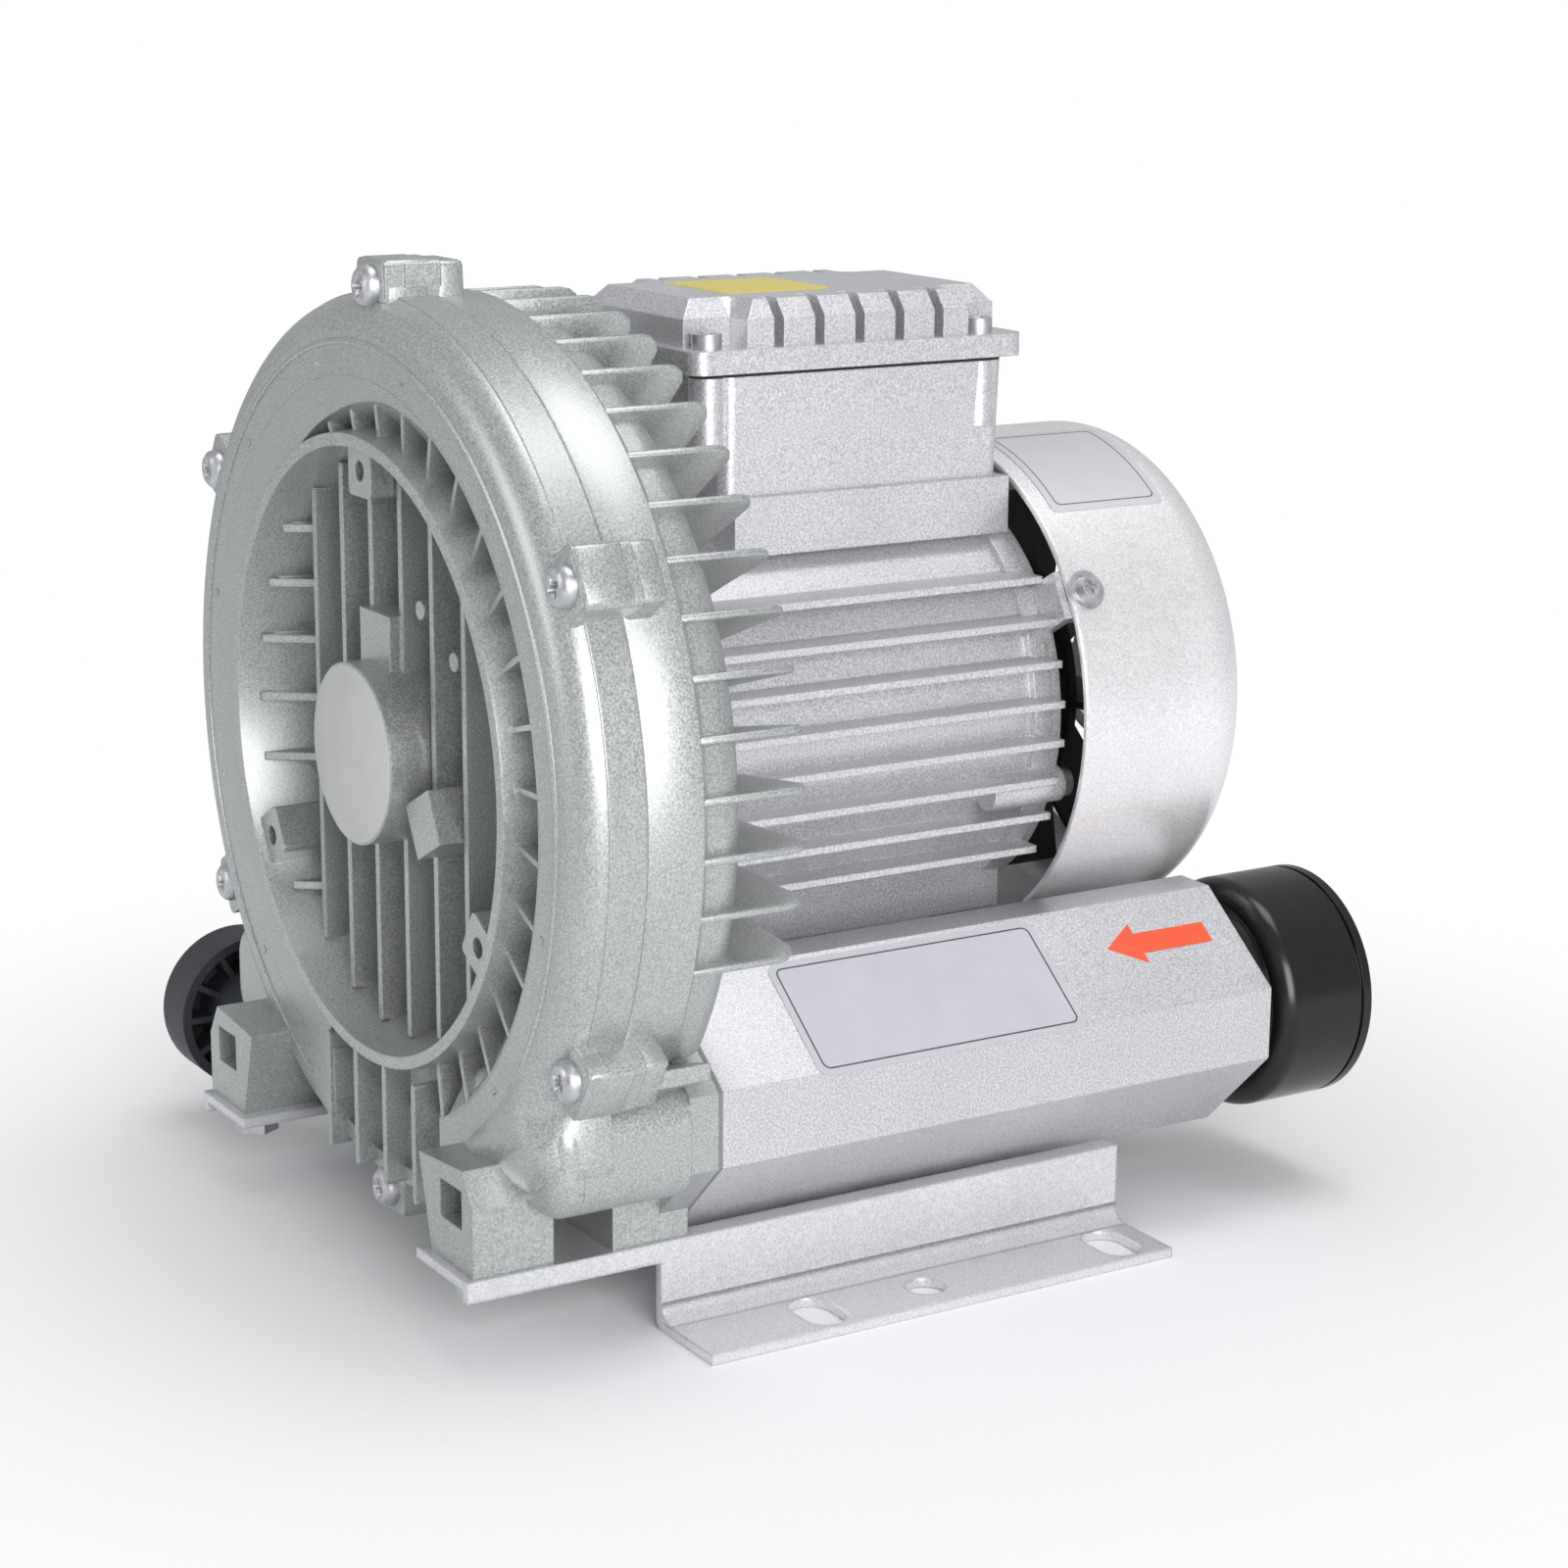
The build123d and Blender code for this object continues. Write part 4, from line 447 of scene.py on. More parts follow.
def skin(count, rows, closed=False):
    """Faces between rows of count points, with end faces where the last row isn't joined to the first."""
    faces = []
    for row in range(rows if closed else rows - 1):
        this, after = row * count, (row + 1) % rows * count
        for index in range(count):
            beside = (index + 1) % count
            faces.append((this + index, this + beside, after + beside, after + index))
    if not closed:
        faces += [tuple(range(count)), tuple((rows - 1) * count + index for index in range(count))]
    return faces


def swept(sections, closed=False):
    """Vertices and faces of outlines of (radius, station) in millimetres, one for each angle."""
    vertices = []
    for degrees, outline in sections:
        across, up = MM * cos(radians(degrees)), MM * sin(radians(degrees))
        for radius, station in outline:
            vertices.append((radius * across, PARTING + station * MM, AXIS_HEIGHT + radius * up))
    return vertices, skin(len(sections[0][1]), len(sections), closed)


def turned(outline, start=0, end=360, steps=180):
    """Vertices and faces of one outline turned about the shaft, in degrees."""
    closed = end - start == 360
    rows = steps if closed else steps + 1
    return swept([(start + (end - start) * row / steps, outline) for row in range(rows)], closed)


def prism(outline, start, end, height):
    """Vertices and faces of an outline of (x, z) in millimetres, from a height, between two stations."""
    ends = (PARTING + start * MM, PARTING + end * MM)
    vertices = [(x * MM, y, height + z * MM) for y in ends for x, z in outline]
    return vertices, skin(len(outline), 2)


def between(value, points):
    """Value read from a list of (position, value) points in rising order."""
    for (low, first), (high, second) in zip(points, points[1:]):
        if value <= high:
            return first + (second - first) * max(0.0, value - low) / (high - low)
    return points[-1][1]


def groove_section(angle):
    """Sloped outer wall of the rib groove, which narrows to nothing on the left."""
    outer = between(angle, [(-62, 87.3), (62, 87.3), (80, 84.5), (100, 79), (119, 74.9), (252, 74.9)])
    inner = between(angle, [(-62, 76.8), (80, 76.2), (119, 74.3), (252, 74.3)])
    return [(87.7, -0.6), (87.7, FACE), (outer, FACE), (inner, -0.6)]


def dome_station(radius):
    """Front of the cover's rounded shoulder at a radius."""
    fall = min(max(radius - DOME_START, 0.0), DOME_DEPTH)
    return -0.5 - DOME_DEPTH * sqrt(max(0.0, 1 - (fall / DOME_DEPTH) ** 2))


def bulge_station(part):
    """Front of the port hump, a low arch over the first part of its way out and then a fall to the rim."""
    if part < 0.8:
        return -8.9 - 2.6 * sin(pi * part * 1.25)
    return -8.9 + 7.5 * ((part - 0.8) / 0.2) ** 2


def hump_section(angle):
    """Bulge of the port hump and the skirt beside it, which leaves the dome smoothly at the top."""
    rim = between(
        angle, [(-67, 109.5), (-60, 117), (-57, 112), (-53, 108.5), (-46, 119), (-41, 119.5), (-34, 107)]
    )
    share = between(angle, [(-40, 1), (-33, 0)])
    outline = []
    for step in range(9):
        part = step / 8
        radius = 94 + (rim - 94) * part
        dome = dome_station(radius)
        outline.append((radius, dome + 0.03 + (bulge_station(part) - dome) * share))
    return outline + [(rim, 7.0), (94, 7.0)]


# Geometry Nodes


def repeat_tree():
    """Node tree that repeats a mesh round the shaft and gives it a material."""
    tree = bpy.data.node_groups.new(REPEAT, "GeometryNodeTree")
    for name, kind in (
        ("Mesh", "Geometry"), ("Count", "Int"), ("Start", "Float"), ("Step", "Float"),
        ("Shaft height", "Float"), ("Material", "Material"),
    ):
        tree.interface.new_socket(name, in_out="INPUT", socket_type="NodeSocket" + kind)
    tree.interface.new_socket("Mesh", in_out="OUTPUT", socket_type="NodeSocketGeometry")
    entry = tree.nodes.new("NodeGroupInput")
    leave = tree.nodes.new("NodeGroupOutput")
    place = tree.nodes.new("ShaderNodeCombineXYZ")
    tree.links.new(entry.outputs["Shaft height"], place.inputs["Z"])
    points = tree.nodes.new("GeometryNodeMeshLine")
    points.inputs["Offset"].default_value = (0, 0, 0)
    tree.links.new(entry.outputs["Count"], points.inputs["Count"])
    tree.links.new(place.outputs["Vector"], points.inputs["Start Location"])
    turn = tree.nodes.new("ShaderNodeMath")
    turn.operation = "MULTIPLY_ADD"
    tree.links.new(tree.nodes.new("GeometryNodeInputIndex").outputs["Index"], turn.inputs[0])
    tree.links.new(entry.outputs["Step"], turn.inputs[1])
    tree.links.new(entry.outputs["Start"], turn.inputs[2])
    flip = tree.nodes.new("ShaderNodeMath")
    flip.operation = "MULTIPLY"
    flip.inputs[1].default_value = -1
    tree.links.new(turn.outputs[0], flip.inputs[0])
    angles = tree.nodes.new("ShaderNodeCombineXYZ")
    tree.links.new(flip.outputs[0], angles.inputs["Y"])
    rotation = tree.nodes.new("FunctionNodeEulerToRotation")
    tree.links.new(angles.outputs["Vector"], rotation.inputs["Euler"])
    copies = tree.nodes.new("GeometryNodeInstanceOnPoints")
    tree.links.new(points.outputs["Mesh"], copies.inputs["Points"])
    tree.links.new(entry.outputs["Mesh"], copies.inputs["Instance"])
    tree.links.new(rotation.outputs["Rotation"], copies.inputs["Rotation"])
    real = tree.nodes.new("GeometryNodeRealizeInstances")
    tree.links.new(copies.outputs["Instances"], real.inputs["Geometry"])
    finish = tree.nodes.new("GeometryNodeSetMaterial")
    tree.links.new(real.outputs["Geometry"], finish.inputs["Geometry"])
    tree.links.new(entry.outputs["Material"], finish.inputs["Material"])
    tree.links.new(finish.outputs["Geometry"], leave.inputs["Mesh"])
    return tree


def repeated(piece, count, start, step, slot="cast_paint"):
    """Repeat a mesh made about the origin round the shaft, and let it ride on the housing."""
    modifier = piece.modifiers.new("repeat", "NODES")
    modifier.node_group = bpy.data.node_groups.get(REPEAT) or repeat_tree()
    values = {
        "Count": count, "Start": start, "Step": step, "Shaft height": AXIS_HEIGHT,
        "Material": piece.data.materials[0],
    }
    for socket in modifier.node_group.interface.items_tree:
        if socket.name in values:
            modifier[socket.identifier] = values[socket.name]
    return housed(bake(piece), slot)


# Sheets and plates


def rounded_outline(length, width, radius, steps=6):
    """Anticlockwise outline of a rounded rectangle about the origin."""
    points = []
    for corner in range(4):
        along = (length / 2 - radius) * (1 if corner in (0, 3) else -1)
        across = (width / 2 - radius) * (1 if corner in (0, 1) else -1)
        for step in range(steps + 1):
            angle = (corner + step / steps) * pi / 2
            points.append((along + radius * cos(angle), across + radius * sin(angle)))
    return points


def sheet_between(outline, inner, place, thickness):
    """Thin sheet with an outline and an optional hole of as many points, laid by place(u, v, height)."""
    count = len(outline)
    loops = [outline] if inner is None else [outline, inner]
    vertices = [place(u, v, height) for height in (0.0, thickness) for loop in loops for u, v in loop]
    layer = count * len(loops)
    faces = []
    for index in range(count):
        after = (index + 1) % count
        faces.append((index, after, layer + after, layer + index))
        if inner is not None:
            low, high = count, layer + count
            faces.append((low + after, low + index, high + index, high + after))
            faces.append((layer + index, layer + after, high + after, high + index))
            faces.append((after, index, low + index, low + after))
    if inner is None:
        faces.append(tuple(layer + index for index in range(count)))
        faces.append(tuple(reversed(range(count))))
    return vertices, faces


def slope_place(station_centre, lift):
    """Place on the upper outer slope of the right silencer: u runs to the rear, v runs up the slope."""
    low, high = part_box("silencer_right")
    foot = Vector((high.x, 0, AXIS_HEIGHT - 65 * MM))
    top = Vector((63 * MM, 0, high.z))
    middle = (foot + top) / 2
    up = (top - foot).normalized()
    outward = Vector((up.z, 0, -up.x))

    def place(u, v, height):
        return middle + up * (v + lift) + outward * (height + 0.02 * MM) + Vector((0, station_centre + u, 0))

    return place


def cowl_place(start_angle, end_angle, station_centre):
    """Place on the cowl skin: u runs down the arc, v runs to the front."""
    middle = (start_angle + end_angle) / 2

    def place(u, v, height):
        radius = COWL_RADIUS + height + 0.05 * MM
        angle = middle - u / COWL_RADIUS
        return Vector((radius * cos(angle), station_centre - v, AXIS_HEIGHT + radius * sin(angle)))

    return place


def divide(outline, most):
    """Outline with long sides divided, so that it can follow a curve."""
    points = []
    for index, start in enumerate(outline):
        end = outline[(index + 1) % len(outline)]
        span = sqrt((end[0] - start[0]) ** 2 + (end[1] - start[1]) ** 2)
        parts = max(1, int(span / most))
        for part in range(parts):
            share = part / parts
            points.append((start[0] + (end[0] - start[0]) * share, start[1] + (end[1] - start[1]) * share))
    return points


def raise_place(place, lift):
    """The same place, a little higher."""
    return lambda u, v, height: place(u, v, height + lift)


def scaled(outline, factor):
    """Outline scaled about the origin."""
    return [(u * factor, v * factor) for u, v in outline]


def add_curved_plate(name, length, width, place, material):
    """Closed thin plate that follows the cowl."""
    columns, rows = 24, 2
    inner_length, inner_width = length * 0.98, width * 0.98
    vertices = []
    for height in (0.0, 0.25 * MM):
        for row in range(rows):
            for column in range(columns + 1):
                u = (column / columns - 0.5) * inner_length
                v = (row / (rows - 1) - 0.5) * inner_width
                vertices.append(place(u, v, height))
    layer = (columns + 1) * rows
    faces = []
    for column in range(columns):
        low_a, low_b = column, column + 1
        far_a, far_b = column + columns + 1, column + columns + 2
        faces.append((layer + low_a, layer + low_b, layer + far_b, layer + far_a))
        faces.append((low_b, low_a, far_a, far_b))
        faces.append((low_a, low_b, layer + low_b, layer + low_a))
        faces.append((far_b, far_a, layer + far_a, layer + far_b))
    faces.append((0, layer, layer + columns + 1, columns + 1))
    faces.append((columns, 2 * columns + 1, layer + 2 * columns + 1, layer + columns))
    return new_piece(name, vertices, faces, material)


# Stage


def add_floor(colour):
    """Large plain floor that the object stands on."""
    material, tree, shader = new_material("floor")
    shader.inputs["Base Color"].default_value = (*colour, 1)
    shader.inputs["Roughness"].default_value = 0.9
    shader.inputs["Specular IOR Level"].default_value = 0.0
    glow = tree.nodes.new("ShaderNodeEmission")
    glow.inputs["Color"].default_value = (1, 1, 1, 1)
    reach = tree.nodes.new("ShaderNodeVectorMath")
    reach.operation = "LENGTH"
    tree.links.new(tree.nodes.new("ShaderNodeTexCoord").outputs["Object"], reach.inputs[0])
    fade = tree.nodes.new("ShaderNodeMapRange")
    fade.interpolation_type = "SMOOTHSTEP"
    fade.inputs["From Min"].default_value = 0.1
    fade.inputs["From Max"].default_value = 0.34
    tree.links.new(reach.outputs["Value"], fade.inputs["Value"])
    seen = tree.nodes.new("ShaderNodeMath")
    seen.operation = "MULTIPLY"
    tree.links.new(fade.outputs["Result"], seen.inputs[0])
    tree.links.new(tree.nodes.new("ShaderNodeLightPath").outputs["Is Camera Ray"], seen.inputs[1])
    mix = tree.nodes.new("ShaderNodeMixShader")
    tree.links.new(seen.outputs[0], mix.inputs["Fac"])
    tree.links.new(shader.outputs["BSDF"], mix.inputs[1])
    tree.links.new(glow.outputs["Emission"], mix.inputs[2])
    tree.links.new(mix.outputs["Shader"], tree.nodes["Material Output"].inputs["Surface"])
    mesh = bpy.data.meshes.new("floor")
    size = 6.0
    corners = [(-size, -size, 0), (size, -size, 0), (size, size, 0), (-size, size, 0)]
    mesh.from_pydata(corners, [], [(0, 1, 2, 3)])
    mesh.materials.append(material)
    floor = bpy.data.objects.new("floor", mesh)
    bpy.context.scene.collection.objects.link(floor)


def add_world():
    """Pale surroundings."""
    world = bpy.data.worlds.new("studio")
    world.use_nodes = True
    tree = world.node_tree
    around = tree.nodes["Background"]
    around.inputs["Color"].default_value = (0.93, 0.95, 0.97, 1)
    around.inputs["Strength"].default_value = 0.5
    behind = tree.nodes.new("ShaderNodeBackground")
    behind.inputs["Color"].default_value = (1, 1, 1, 1)
    mix = tree.nodes.new("ShaderNodeMixShader")
    tree.links.new(tree.nodes.new("ShaderNodeLightPath").outputs["Is Camera Ray"], mix.inputs["Fac"])
    tree.links.new(around.outputs["Background"], mix.inputs[1])
    tree.links.new(behind.outputs["Background"], mix.inputs[2])
    tree.links.new(mix.outputs["Shader"], tree.nodes["World Output"].inputs["Surface"])
    bpy.context.scene.world = world


def add_area(name, position, size, power):
    """Soft square lamp aimed at the object."""
    lamp = bpy.data.lights.new(name, "AREA")
    lamp.size = size
    lamp.energy = power
    light = bpy.data.objects.new(name, lamp)
    light.location = position
    aim = Vector((0, 0, 0.12)) - Vector(position)
    light.rotation_euler = aim.to_track_quat("-Z", "Y").to_euler()
    bpy.context.scene.collection.objects.link(light)


def add_camera(studio):
    """Camera at the photograph's viewing angle."""
    camera_data = bpy.data.cameras.new("camera")
    camera_data.sensor_width = 36
    camera_data.lens = studio.focal_length
    camera = bpy.data.objects.new("camera", camera_data)
    azimuth, elevation = studio.azimuth, studio.elevation
    away = Vector((sin(azimuth) * cos(elevation), -cos(azimuth) * cos(elevation), sin(elevation)))
    target = Vector(studio.target)
    turn = (-away).to_track_quat("-Z", "Y").to_matrix() @ Matrix.Rotation(studio.roll, 3, "Z")
    camera.matrix_world = Matrix.Translation(target + away * studio.distance) @ turn.to_4x4()
    bpy.context.scene.collection.objects.link(camera)
    bpy.context.scene.camera = camera


# Operators


class PaintCastings(Operator):
    """Paint cover, casing, motor and silencers"""

    bl_idname = "blower.paint_castings"
    bl_label = "Paint castings"

    def execute(self, context):
        finish = context.scene.blower_finish
        cover = metallic_paint("cover paint", finish.cover_paint, finish.grain)
        paint_nodes(cover, "impeller_cover", "impeller_casing")
        motor = metallic_paint("motor paint", finish.motor_paint, finish.grain)
        paint_nodes(motor, "motor_frame", "rear_end_shield", "terminal_box", "terminal_box_lid")
        silencer = metallic_paint("silencer paint", finish.silencer_paint, finish.grain)
        paint_nodes(silencer, "silencer_right", "silencer_left")
        cowl = metallic_paint("cowl paint", finish.cowl_paint, finish.grain * 0.6, cast=False)
        paint_nodes(cowl, "fan_cowl")
        sheet = metallic_paint("sheet paint", finish.sheet_paint, finish.grain * 0.6, cast=False)
        paint_nodes(sheet, "foot_rail_right", "foot_rail_left")
        return {"FINISHED"}


class FinishMetals(Operator):
    """Finish screws, shaft, bearings, impeller, cores and windings"""

    bl_idname = "blower.finish_metals"
    bl_label = "Finish metals"

    def execute(self, context):
        finish = context.scene.blower_finish
        zinc = bare_metal("zinc plate", (0.60, 0.605, 0.625), 0.42, scale=500)
        paint_nodes(
            zinc, "cover_screws", "end_shield_screws", "cowl_screws", "cowl_washers", "terminal_box_screws",
            "lid_screws", "silencer_screws", "foot_bolts", "foot_washers", "impeller_bolt", "impeller_washer",
        )
        cast = bare_metal("raw aluminium", (0.66, 0.67, 0.68), 0.45, scale=700)
        paint_nodes(cast, "impeller", "rotor_cage")
        ground = bare_metal("ground steel", (0.50, 0.51, 0.53), 0.22, streak=(1, 12, 1), scale=400)
        paint_nodes(ground, "shaft", "impeller_key", "wave_washer", "fan_clip")
        race = bare_metal("bearing steel", (0.58, 0.59, 0.61), 0.15, scale=300)
        paint_nodes(
            race, "front_bearing_outer", "front_bearing_inner", "front_bearing_balls",
            "rear_bearing_outer", "rear_bearing_inner", "rear_bearing_balls",
        )
        sheets = banded("core sheets", (0.16, 0.165, 0.175), 0.5 * MM, 0.8, 0.5)
        paint_nodes(sheets, "stator_core", "rotor_core")
        paint_nodes(banded("winding wire", finish.copper, 0.7 * MM, 0.6, 0.35), "stator_windings")
        paint_nodes(bare_metal("stud brass", (0.66, 0.46, 0.18), 0.3), "terminal_studs")
        return {"FINISHED"}


class FinishPlastics(Operator):
    """Finish fittings, cap, gland, fan, gaskets, foam and board"""

    bl_idname = "blower.finish_plastics"
    bl_label = "Finish plastics"

    def execute(self, context):
        finish = context.scene.blower_finish
        paint_nodes(plastic("fitting plastic", finish.fitting, 0.22, 300), "right_fitting", "left_fitting")
        paint_nodes(plastic("cap plastic", finish.cap, 0.5), "side_port_cap", "cable_gland", "gland_nut")
        paint_nodes(plastic("fan plastic", (0.02, 0.02, 0.022), 0.55), "cooling_fan")
        rubber = plastic("gasket rubber", (0.02, 0.02, 0.02), 0.8, 2000)
        paint_nodes(rubber, "shaft_seal", "terminal_box_gasket", "gland_seal")
        sheet = plastic("gasket sheet", (0.22, 0.22, 0.22), 0.75, 2000)
        paint_nodes(sheet, "silencer_gasket_right", "silencer_gasket_left")
        paint_nodes(open_foam("lining foam", (0.09, 0.09, 0.09)), "silencer_foam_right", "silencer_foam_left")
        paint_nodes(plastic("board plastic", (0.05, 0.035, 0.03), 0.45), "terminal_board")
        return {"FINISHED"}


class DressFlange(Operator):
    """Add the flange with its joint line, the rounded shoulder and the screw lugs"""

    bl_idname = "blower.dress_flange"
    bl_label = "Flange and lugs"

    def execute(self, context):
        sizes = context.scene.blower_castings
        paint = bpy.data.materials["cover paint"]
        outer, joint = sizes.flange_radius / MM, sizes.joint_station / MM
        rings = {
            "flange_front": (
                (104.5, -2.2), (outer - 0.2, -2.2), (outer, -2.0), (outer, joint - 0.5),
                (outer - 0.5, joint - 0.02), (104.5, joint - 0.02),
            ),
            "flange_rear": (
                (102.5, joint + 0.02), (outer - 0.7, joint + 0.02), (outer - 0.4, joint + 0.5),
                (outer - 0.4, 21.0), (outer - 1.0, 21.7), (102.5, 21.7),
            ),
        }
        for name, outline in rings.items():
            smooth(new_piece(name, *turned(outline), paint))
        arc = [(96 + 7 * cos(step * pi / 16), 27 + 7 * sin(step * pi / 16)) for step in range(9)]
        outline = [(101, 20), (103, 20), *arc, (91, 34), (90, 27), (97, 23)]
        smooth(new_piece("casing_shoulder", *turned(outline, -33, 213, 164), paint))
        half = sizes.lug_width / MM / 2
        for name, start, end, top in (
            ("cover_lugs", LUG_FRONT, joint - 0.12, 114.2), ("casing_lugs", joint + 0.12, 15, 113.6)
        ):
            side = [(103.8, half + 1.5), (106, half), (top, half - 0.6)]
            outline = [(x, -z) for x, z in side] + side[::-1]
            lug = bevelled(loose_piece(name, *prism(outline, start, end, 0), paint), 1.4 * MM)
            smooth(repeated(lug, SCREW_COUNT, radians(30), radians(60)), 50)
        return {"FINISHED"}


class DressFins(Operator):
    """Add the full outline of the casing's cooling fins"""

    bl_idname = "blower.dress_fins"
    bl_label = "Casing fins"

    def execute(self, context):
        sizes = context.scene.blower_castings
        paint = bpy.data.materials["cover paint"]
        outer = sizes.flange_radius / MM - 0.6
        outline = [
            (84, 30), (101, 21), (outer, 21), (outer, 43.5), (outer - 0.5, 45.6), (outer - 1.8, 47.3),
            (outer - 4, 48), (99.5, 47.4), (84, 42.7),
        ]
        half = 0.87 * MM
        vertices = [(x * MM, PARTING + y * MM, side) for side in (-half, half) for x, y in outline]
        fin = bevelled(loose_piece("casing_fins", vertices, skin(len(outline), 2), paint), 0.5 * MM)
        smooth(repeated(fin, sizes.fin_count, -2.5 * sizes.fin_step, sizes.fin_step), 50)
        return {"FINISHED"}


class DressCoverFace(Operator):
    """Add the plain sector, the end of the recess, the fine line, the marks and the disc of the cover"""

    bl_idname = "blower.dress_cover_face"
    bl_label = "Cover face"

    def execute(self, context):
        sizes = context.scene.blower_castings
        paint = bpy.data.materials["cover paint"]
        dome = [
            (DOME_START + 8.7 * sin(step * pi / 16), -0.5 - 8.55 * cos(step * pi / 16)) for step in range(9)
        ]
        sectors = {
            "recess_end": ([(95, FACE_BACK), (95, FACE), *dome, (106.0, -0.2)], 244, 256.5),
            "recess_wall": ([(100.4, -2), (100.4, -5.55), (104.6, -5.55), (104.6, -2)], 254, 291),
            "cover_line": ([(94.6, -8.8), (94.7, -9.4), (95.3, -9.5), (96.1, -9.1), (96.1, -8.8)], -66, 248),
        }
        for name, (outline, start, end) in sectors.items():
            steps = max(4, int((end - start) / 2))
            smooth(new_piece(name, *turned(outline, start, end, steps), paint))
        corner = [(-38, -74), (-22.6, -79), (-22.6, -94), (-37, -89.5)]
        new_piece("recess_corner", *prism(corner, FACE + 0.03, FACE_BACK, AXIS_HEIGHT), paint)
        groove = [(angle, groove_section(angle)) for angle in range(-62, 253, 2)]
        smooth(new_piece("rib_groove", *swept(groove), paint))
        hump = [(angle, hump_section(angle)) for angle in range(-67, -32)]
        smooth(new_piece("port_hump", *swept(hump), paint), 60)
        mark = [(90.4, -0.9), (91.6, -0.9), (91.6, 0.9), (90.4, 0.9)]
        pads = loose_piece("casting_marks", *prism(mark, FACE - 0.2, FACE + 0.25, 0), paint)
        repeated(pads, sizes.mark_count, radians(15), radians(360) / sizes.mark_count)
        silver = print_ink("disc grey", grey(0.52), 0.5)
        disc = [(0.02, -12.3), (20.9, -12.3), (20.9, -12.75), (20.6, -12.9), (0.02, -12.9)]
        smooth(new_piece("hub_disc", *turned(disc, steps=96), silver))
        return {"FINISHED"}


class DressScrews(Operator):
    """Replace the plain cover screws by pan heads with a recess"""

    bl_idname = "blower.dress_screws"
    bl_label = "Cover screws"

    def execute(self, context):
        radius = context.scene.blower_castings.screw_radius / MM
        zinc = bpy.data.materials["zinc plate"]
        steps, shank, middle = 48, 2.5, 0.05
        rings = [
            (middle, -1.2, 0), (1.2, -1.4, 1), (1.9, -3.1, 1), (2.3, -3.3, 0.4), (radius - 1.2, -3.1, 0),
            (radius - 0.35, -2.3, 0), (radius, -1.2, 0), (radius, 0.1, 0), (shank, 0.1, 0), (shank, 13, 0),
            (middle, 13, 0),
        ]
        vertices = []
        for step in range(steps):
            angle = 2 * pi * step / steps
            for ring, station, lobes in rings:
                reach = ring * (1 + 0.35 * lobes * cos(4 * angle))
                x, y, z = SCREW_CIRCLE + reach * cos(angle), LUG_FRONT + station, reach * sin(angle)
                vertices.append((x * MM, PARTING + y * MM, z * MM))
        screw = loose_piece("pan_head_screws", vertices, skin(len(rings), steps, closed=True), zinc)
        smooth(repeated(screw, SCREW_COUNT, radians(30), radians(60), "zinc_steel"))
        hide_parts("cover_screws")
        return {"FINISHED"}


class DressRails(Operator):
    """Add the rounded inside of the bend of both foot rails"""

    bl_idname = "blower.dress_rails"
    bl_label = "Rail bends"

    def execute(self, context):
        paint = bpy.data.materials["sheet paint"]
        low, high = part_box("foot_rail_right")
        web, floor, bend = high.x / MM - 23.0, low.z / MM + 2.5, 4.5
        arc = [
            (web + bend * (1 - cos(step * pi / 16)), floor + bend * (1 - sin(step * pi / 16)))
            for step in range(9)
        ]
        for name, side in (("rail_bend_right", 1), ("rail_bend_left", -1)):
            outline = [(side * x, z) for x, z in [*arc, (web - 0.5, floor - 0.5)]]
            smooth(new_piece(name, *prism(outline, 27.05, 155.95, 0), paint))
        return {"FINISHED"}


class AddNameplate(Operator):
    """Add the blank plate on the cowl"""

    bl_idname = "blower.add_nameplate"
    bl_label = "Blank plate"

    def execute(self, context):
        marks = context.scene.blower_marks
        station = centre_of("fan_cowl").y - 4.5 * MM
        length = (marks.plate_end - marks.plate_start) * COWL_RADIUS
        place = cowl_place(marks.plate_start, marks.plate_end, station)
        white = print_ink("plate silver", (0.56, 0.56, 0.59), 0.3)
        ink = print_ink("plate ink", (0.03, 0.03, 0.04), 0.4)
        outline = divide(rounded_outline(length, marks.plate_width, 2 * MM), 1.5 * MM)
        vertices, faces = sheet_between(outline, scaled(outline, 0.98), place, 0.25 * MM)
        new_piece("nameplate_rim", vertices, faces, white)
        add_curved_plate("nameplate", length, marks.plate_width, place, white)
        border = divide(rounded_outline(length - 4 * MM, marks.plate_width - 4 * MM, 1.5 * MM), 1.5 * MM)
        inset = 1 - 0.5 * MM / marks.plate_width
        raised = raise_place(place, 0.26 * MM)
        vertices, faces = sheet_between(border, scaled(border, inset), raised, 0.05 * MM)
        new_piece("nameplate_border", vertices, faces, ink, "black_matte")
        return {"FINISHED"}


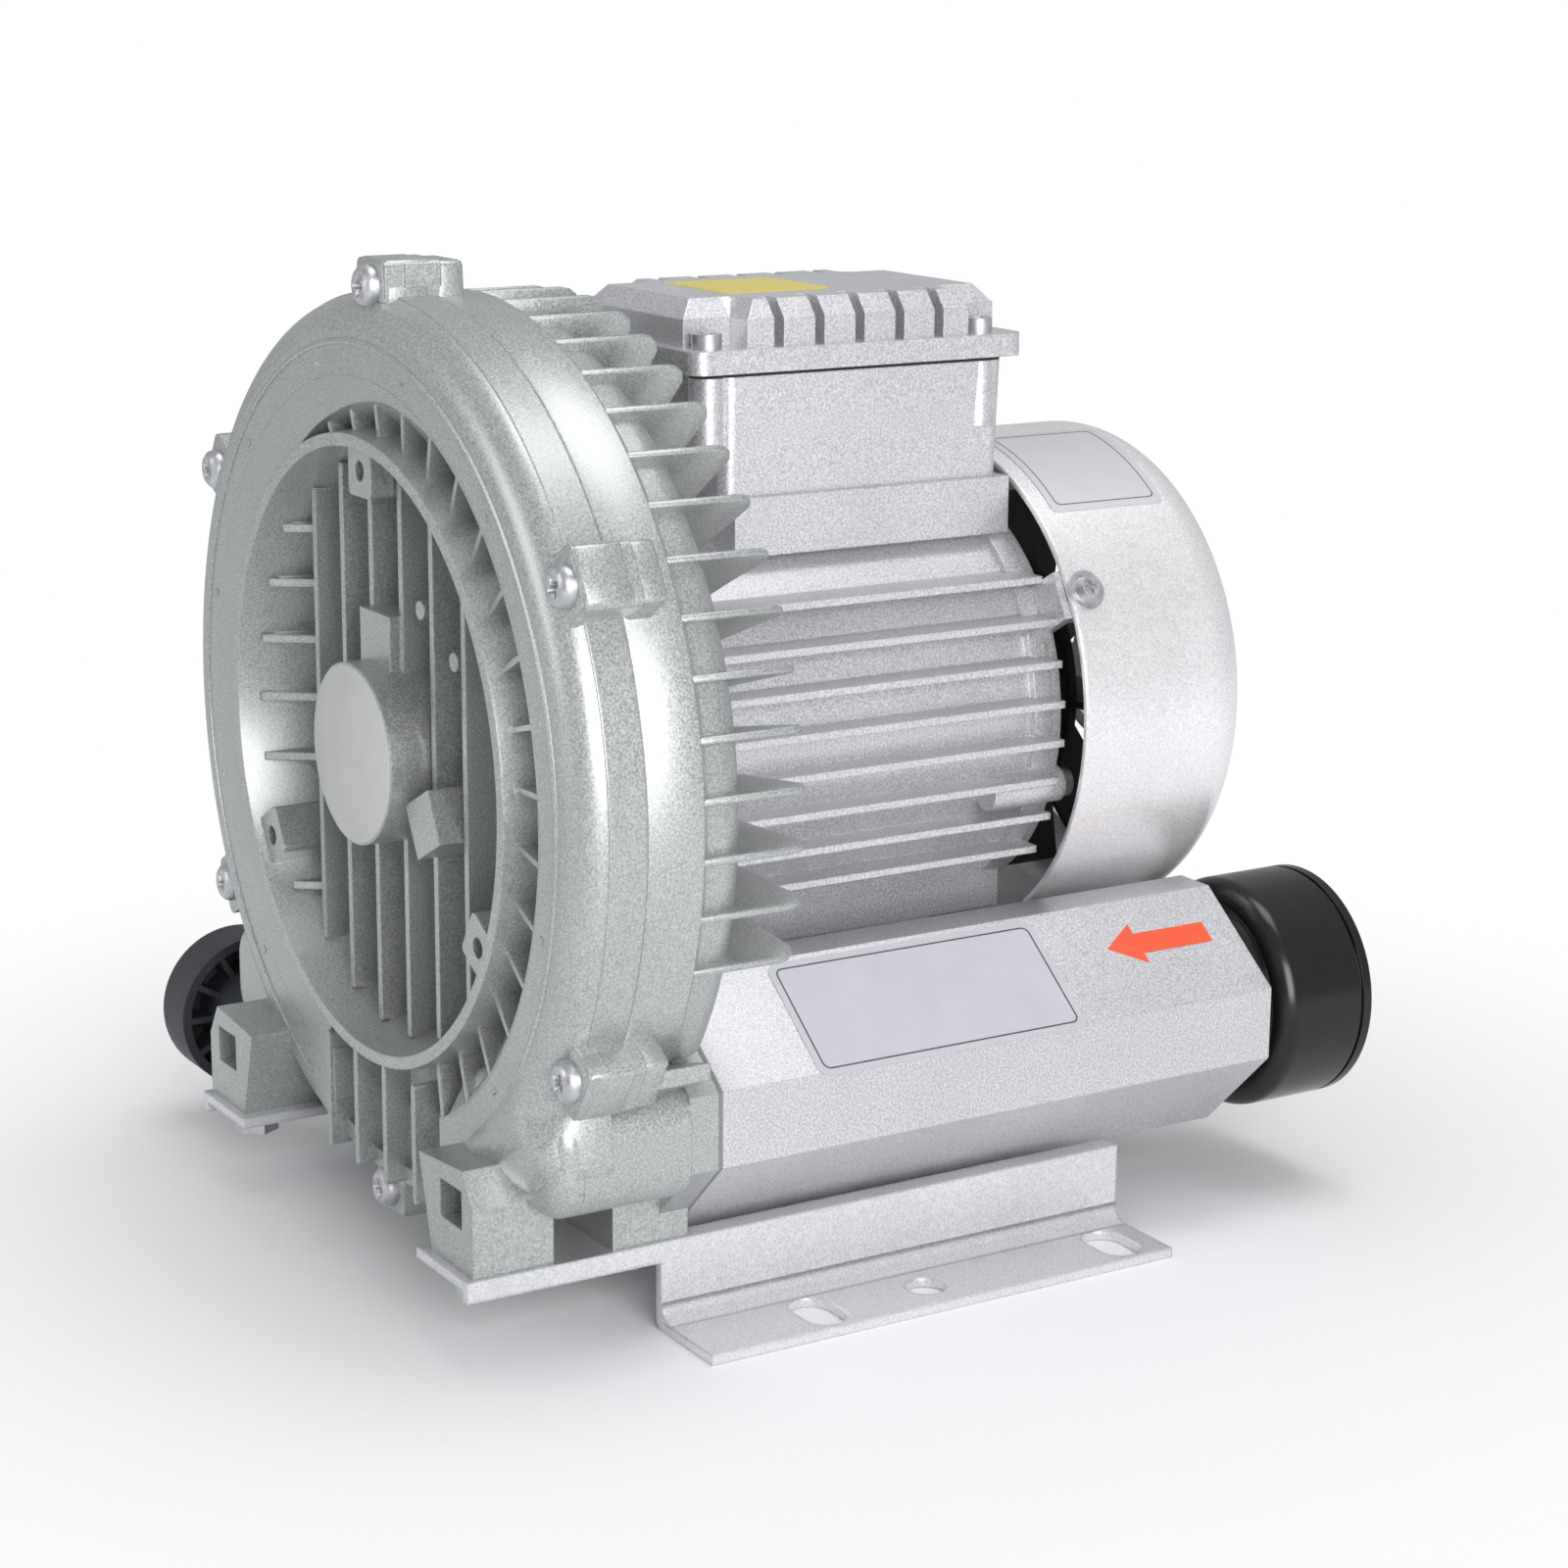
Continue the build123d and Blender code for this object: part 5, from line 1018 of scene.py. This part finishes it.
class AddLabel(Operator):
    """Add the blank label and the flow arrow on the right silencer"""

    bl_idname = "blower.add_label"
    bl_label = "Label and arrow"

    def execute(self, context):
        marks = context.scene.blower_marks
        low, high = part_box("silencer_right")
        place = slope_place(low.y + 63 * MM, -1.2 * MM)
        white = print_ink("label white", (0.50, 0.50, 0.54))
        ink = print_ink("label ink", (0.06, 0.06, 0.08))
        outline = rounded_outline(marks.label_length, marks.label_width, 3 * MM)
        vertices, faces = sheet_between(outline, None, place, 0.15 * MM)
        new_piece("silencer_label", vertices, faces, white)
        border = rounded_outline(marks.label_length - 3.5 * MM, marks.label_width - 3.5 * MM, 2 * MM)
        inner = rounded_outline(marks.label_length - 4.3 * MM, marks.label_width - 4.3 * MM, 1.6 * MM)
        vertices, faces = sheet_between(border, inner, raise_place(place, 0.16 * MM), 0.04 * MM)
        new_piece("silencer_label_border", vertices, faces, ink, "black_matte")
        red = print_ink("arrow red", (0.80, 0.09, 0.03), 0.35)
        half, tip = marks.arrow_width / 2, -marks.arrow_length / 2
        neck, tail = tip + 9.4 * MM, marks.arrow_length / 2
        arrow = [
            (tip, 0), (neck, -half), (neck, -half * 0.5), (tail, -half * 0.5),
            (tail, half * 0.5), (neck, half * 0.5), (neck, half),
        ]
        vertices, faces = sheet_between(arrow, None, slope_place(low.y + 132.7 * MM, 3 * MM), 0.12 * MM)
        new_piece("flow_arrow", vertices, faces, red)
        return {"FINISHED"}


class AddPatch(Operator):
    """Add the plain yellow patch on the terminal box lid"""

    bl_idname = "blower.add_patch"
    bl_label = "Lid patch"

    def execute(self, context):
        marks = context.scene.blower_marks
        middle = centre_of("terminal_box_lid")
        yellow = print_ink("patch yellow", (0.80, 0.62, 0.05))

        def place(u, v, height):
            return Vector((middle.x + u, middle.y - 12 * MM + v, LID_TOP + height + 0.02 * MM))

        outline = rounded_outline(marks.patch_size, marks.patch_size, 3 * MM)
        vertices, faces = sheet_between(outline, None, place, 0.15 * MM)
        new_piece("lid_patch", vertices, faces, yellow)
        return {"FINISHED"}


class BuildStudio(Operator):
    """Add floor, lights and camera"""

    bl_idname = "blower.build_studio"
    bl_label = "Studio"

    def execute(self, context):
        studio = context.scene.blower_studio
        add_floor(studio.floor_colour)
        add_world()
        add_area("key", (1.7, -0.35, 0.6), 1.0, studio.key_power)
        add_area("top", (0.2, 0.3, 1.9), 1.0, studio.key_power * 0.5)
        add_area("front", (-0.5, -1.8, 0.7), 0.9, studio.key_power * 0.26)
        add_camera(studio)
        context.scene.view_settings.view_transform = "Standard"
        return {"FINISHED"}


class BlowerPanel(Panel):
    """Lists the steps"""

    bl_idname = "VIEW3D_PT_blower"
    bl_label = "Side Channel Blower"
    bl_space_type = "VIEW_3D"
    bl_region_type = "UI"
    bl_category = "Blower"

    def draw(self, context):
        for step in STEPS:
            self.layout.operator(step.bl_idname)


GROUPS = (BlowerFinish, BlowerMarks, BlowerCastings, BlowerStudio)
STEPS = (
    PaintCastings, FinishMetals, FinishPlastics, DressFlange, DressFins, DressCoverFace, DressScrews,
    DressRails, AddNameplate, AddLabel, AddPatch, BuildStudio,
)


def register():
    for cls in (*GROUPS, *STEPS, BlowerPanel):
        bpy.utils.register_class(cls)
    bpy.types.Scene.blower_finish = PointerProperty(type=BlowerFinish)
    bpy.types.Scene.blower_marks = PointerProperty(type=BlowerMarks)
    bpy.types.Scene.blower_castings = PointerProperty(type=BlowerCastings)
    bpy.types.Scene.blower_studio = PointerProperty(type=BlowerStudio)


def unregister():
    for name in ("blower_finish", "blower_marks", "blower_castings", "blower_studio"):
        delattr(bpy.types.Scene, name)
    for cls in reversed((*GROUPS, *STEPS, BlowerPanel)):
        bpy.utils.unregister_class(cls)


def main():
    register()
    for step in STEPS:
        group, name = step.bl_idname.split(".")
        getattr(getattr(bpy.ops, group), name)()


if __name__ == "__main__":
    main()
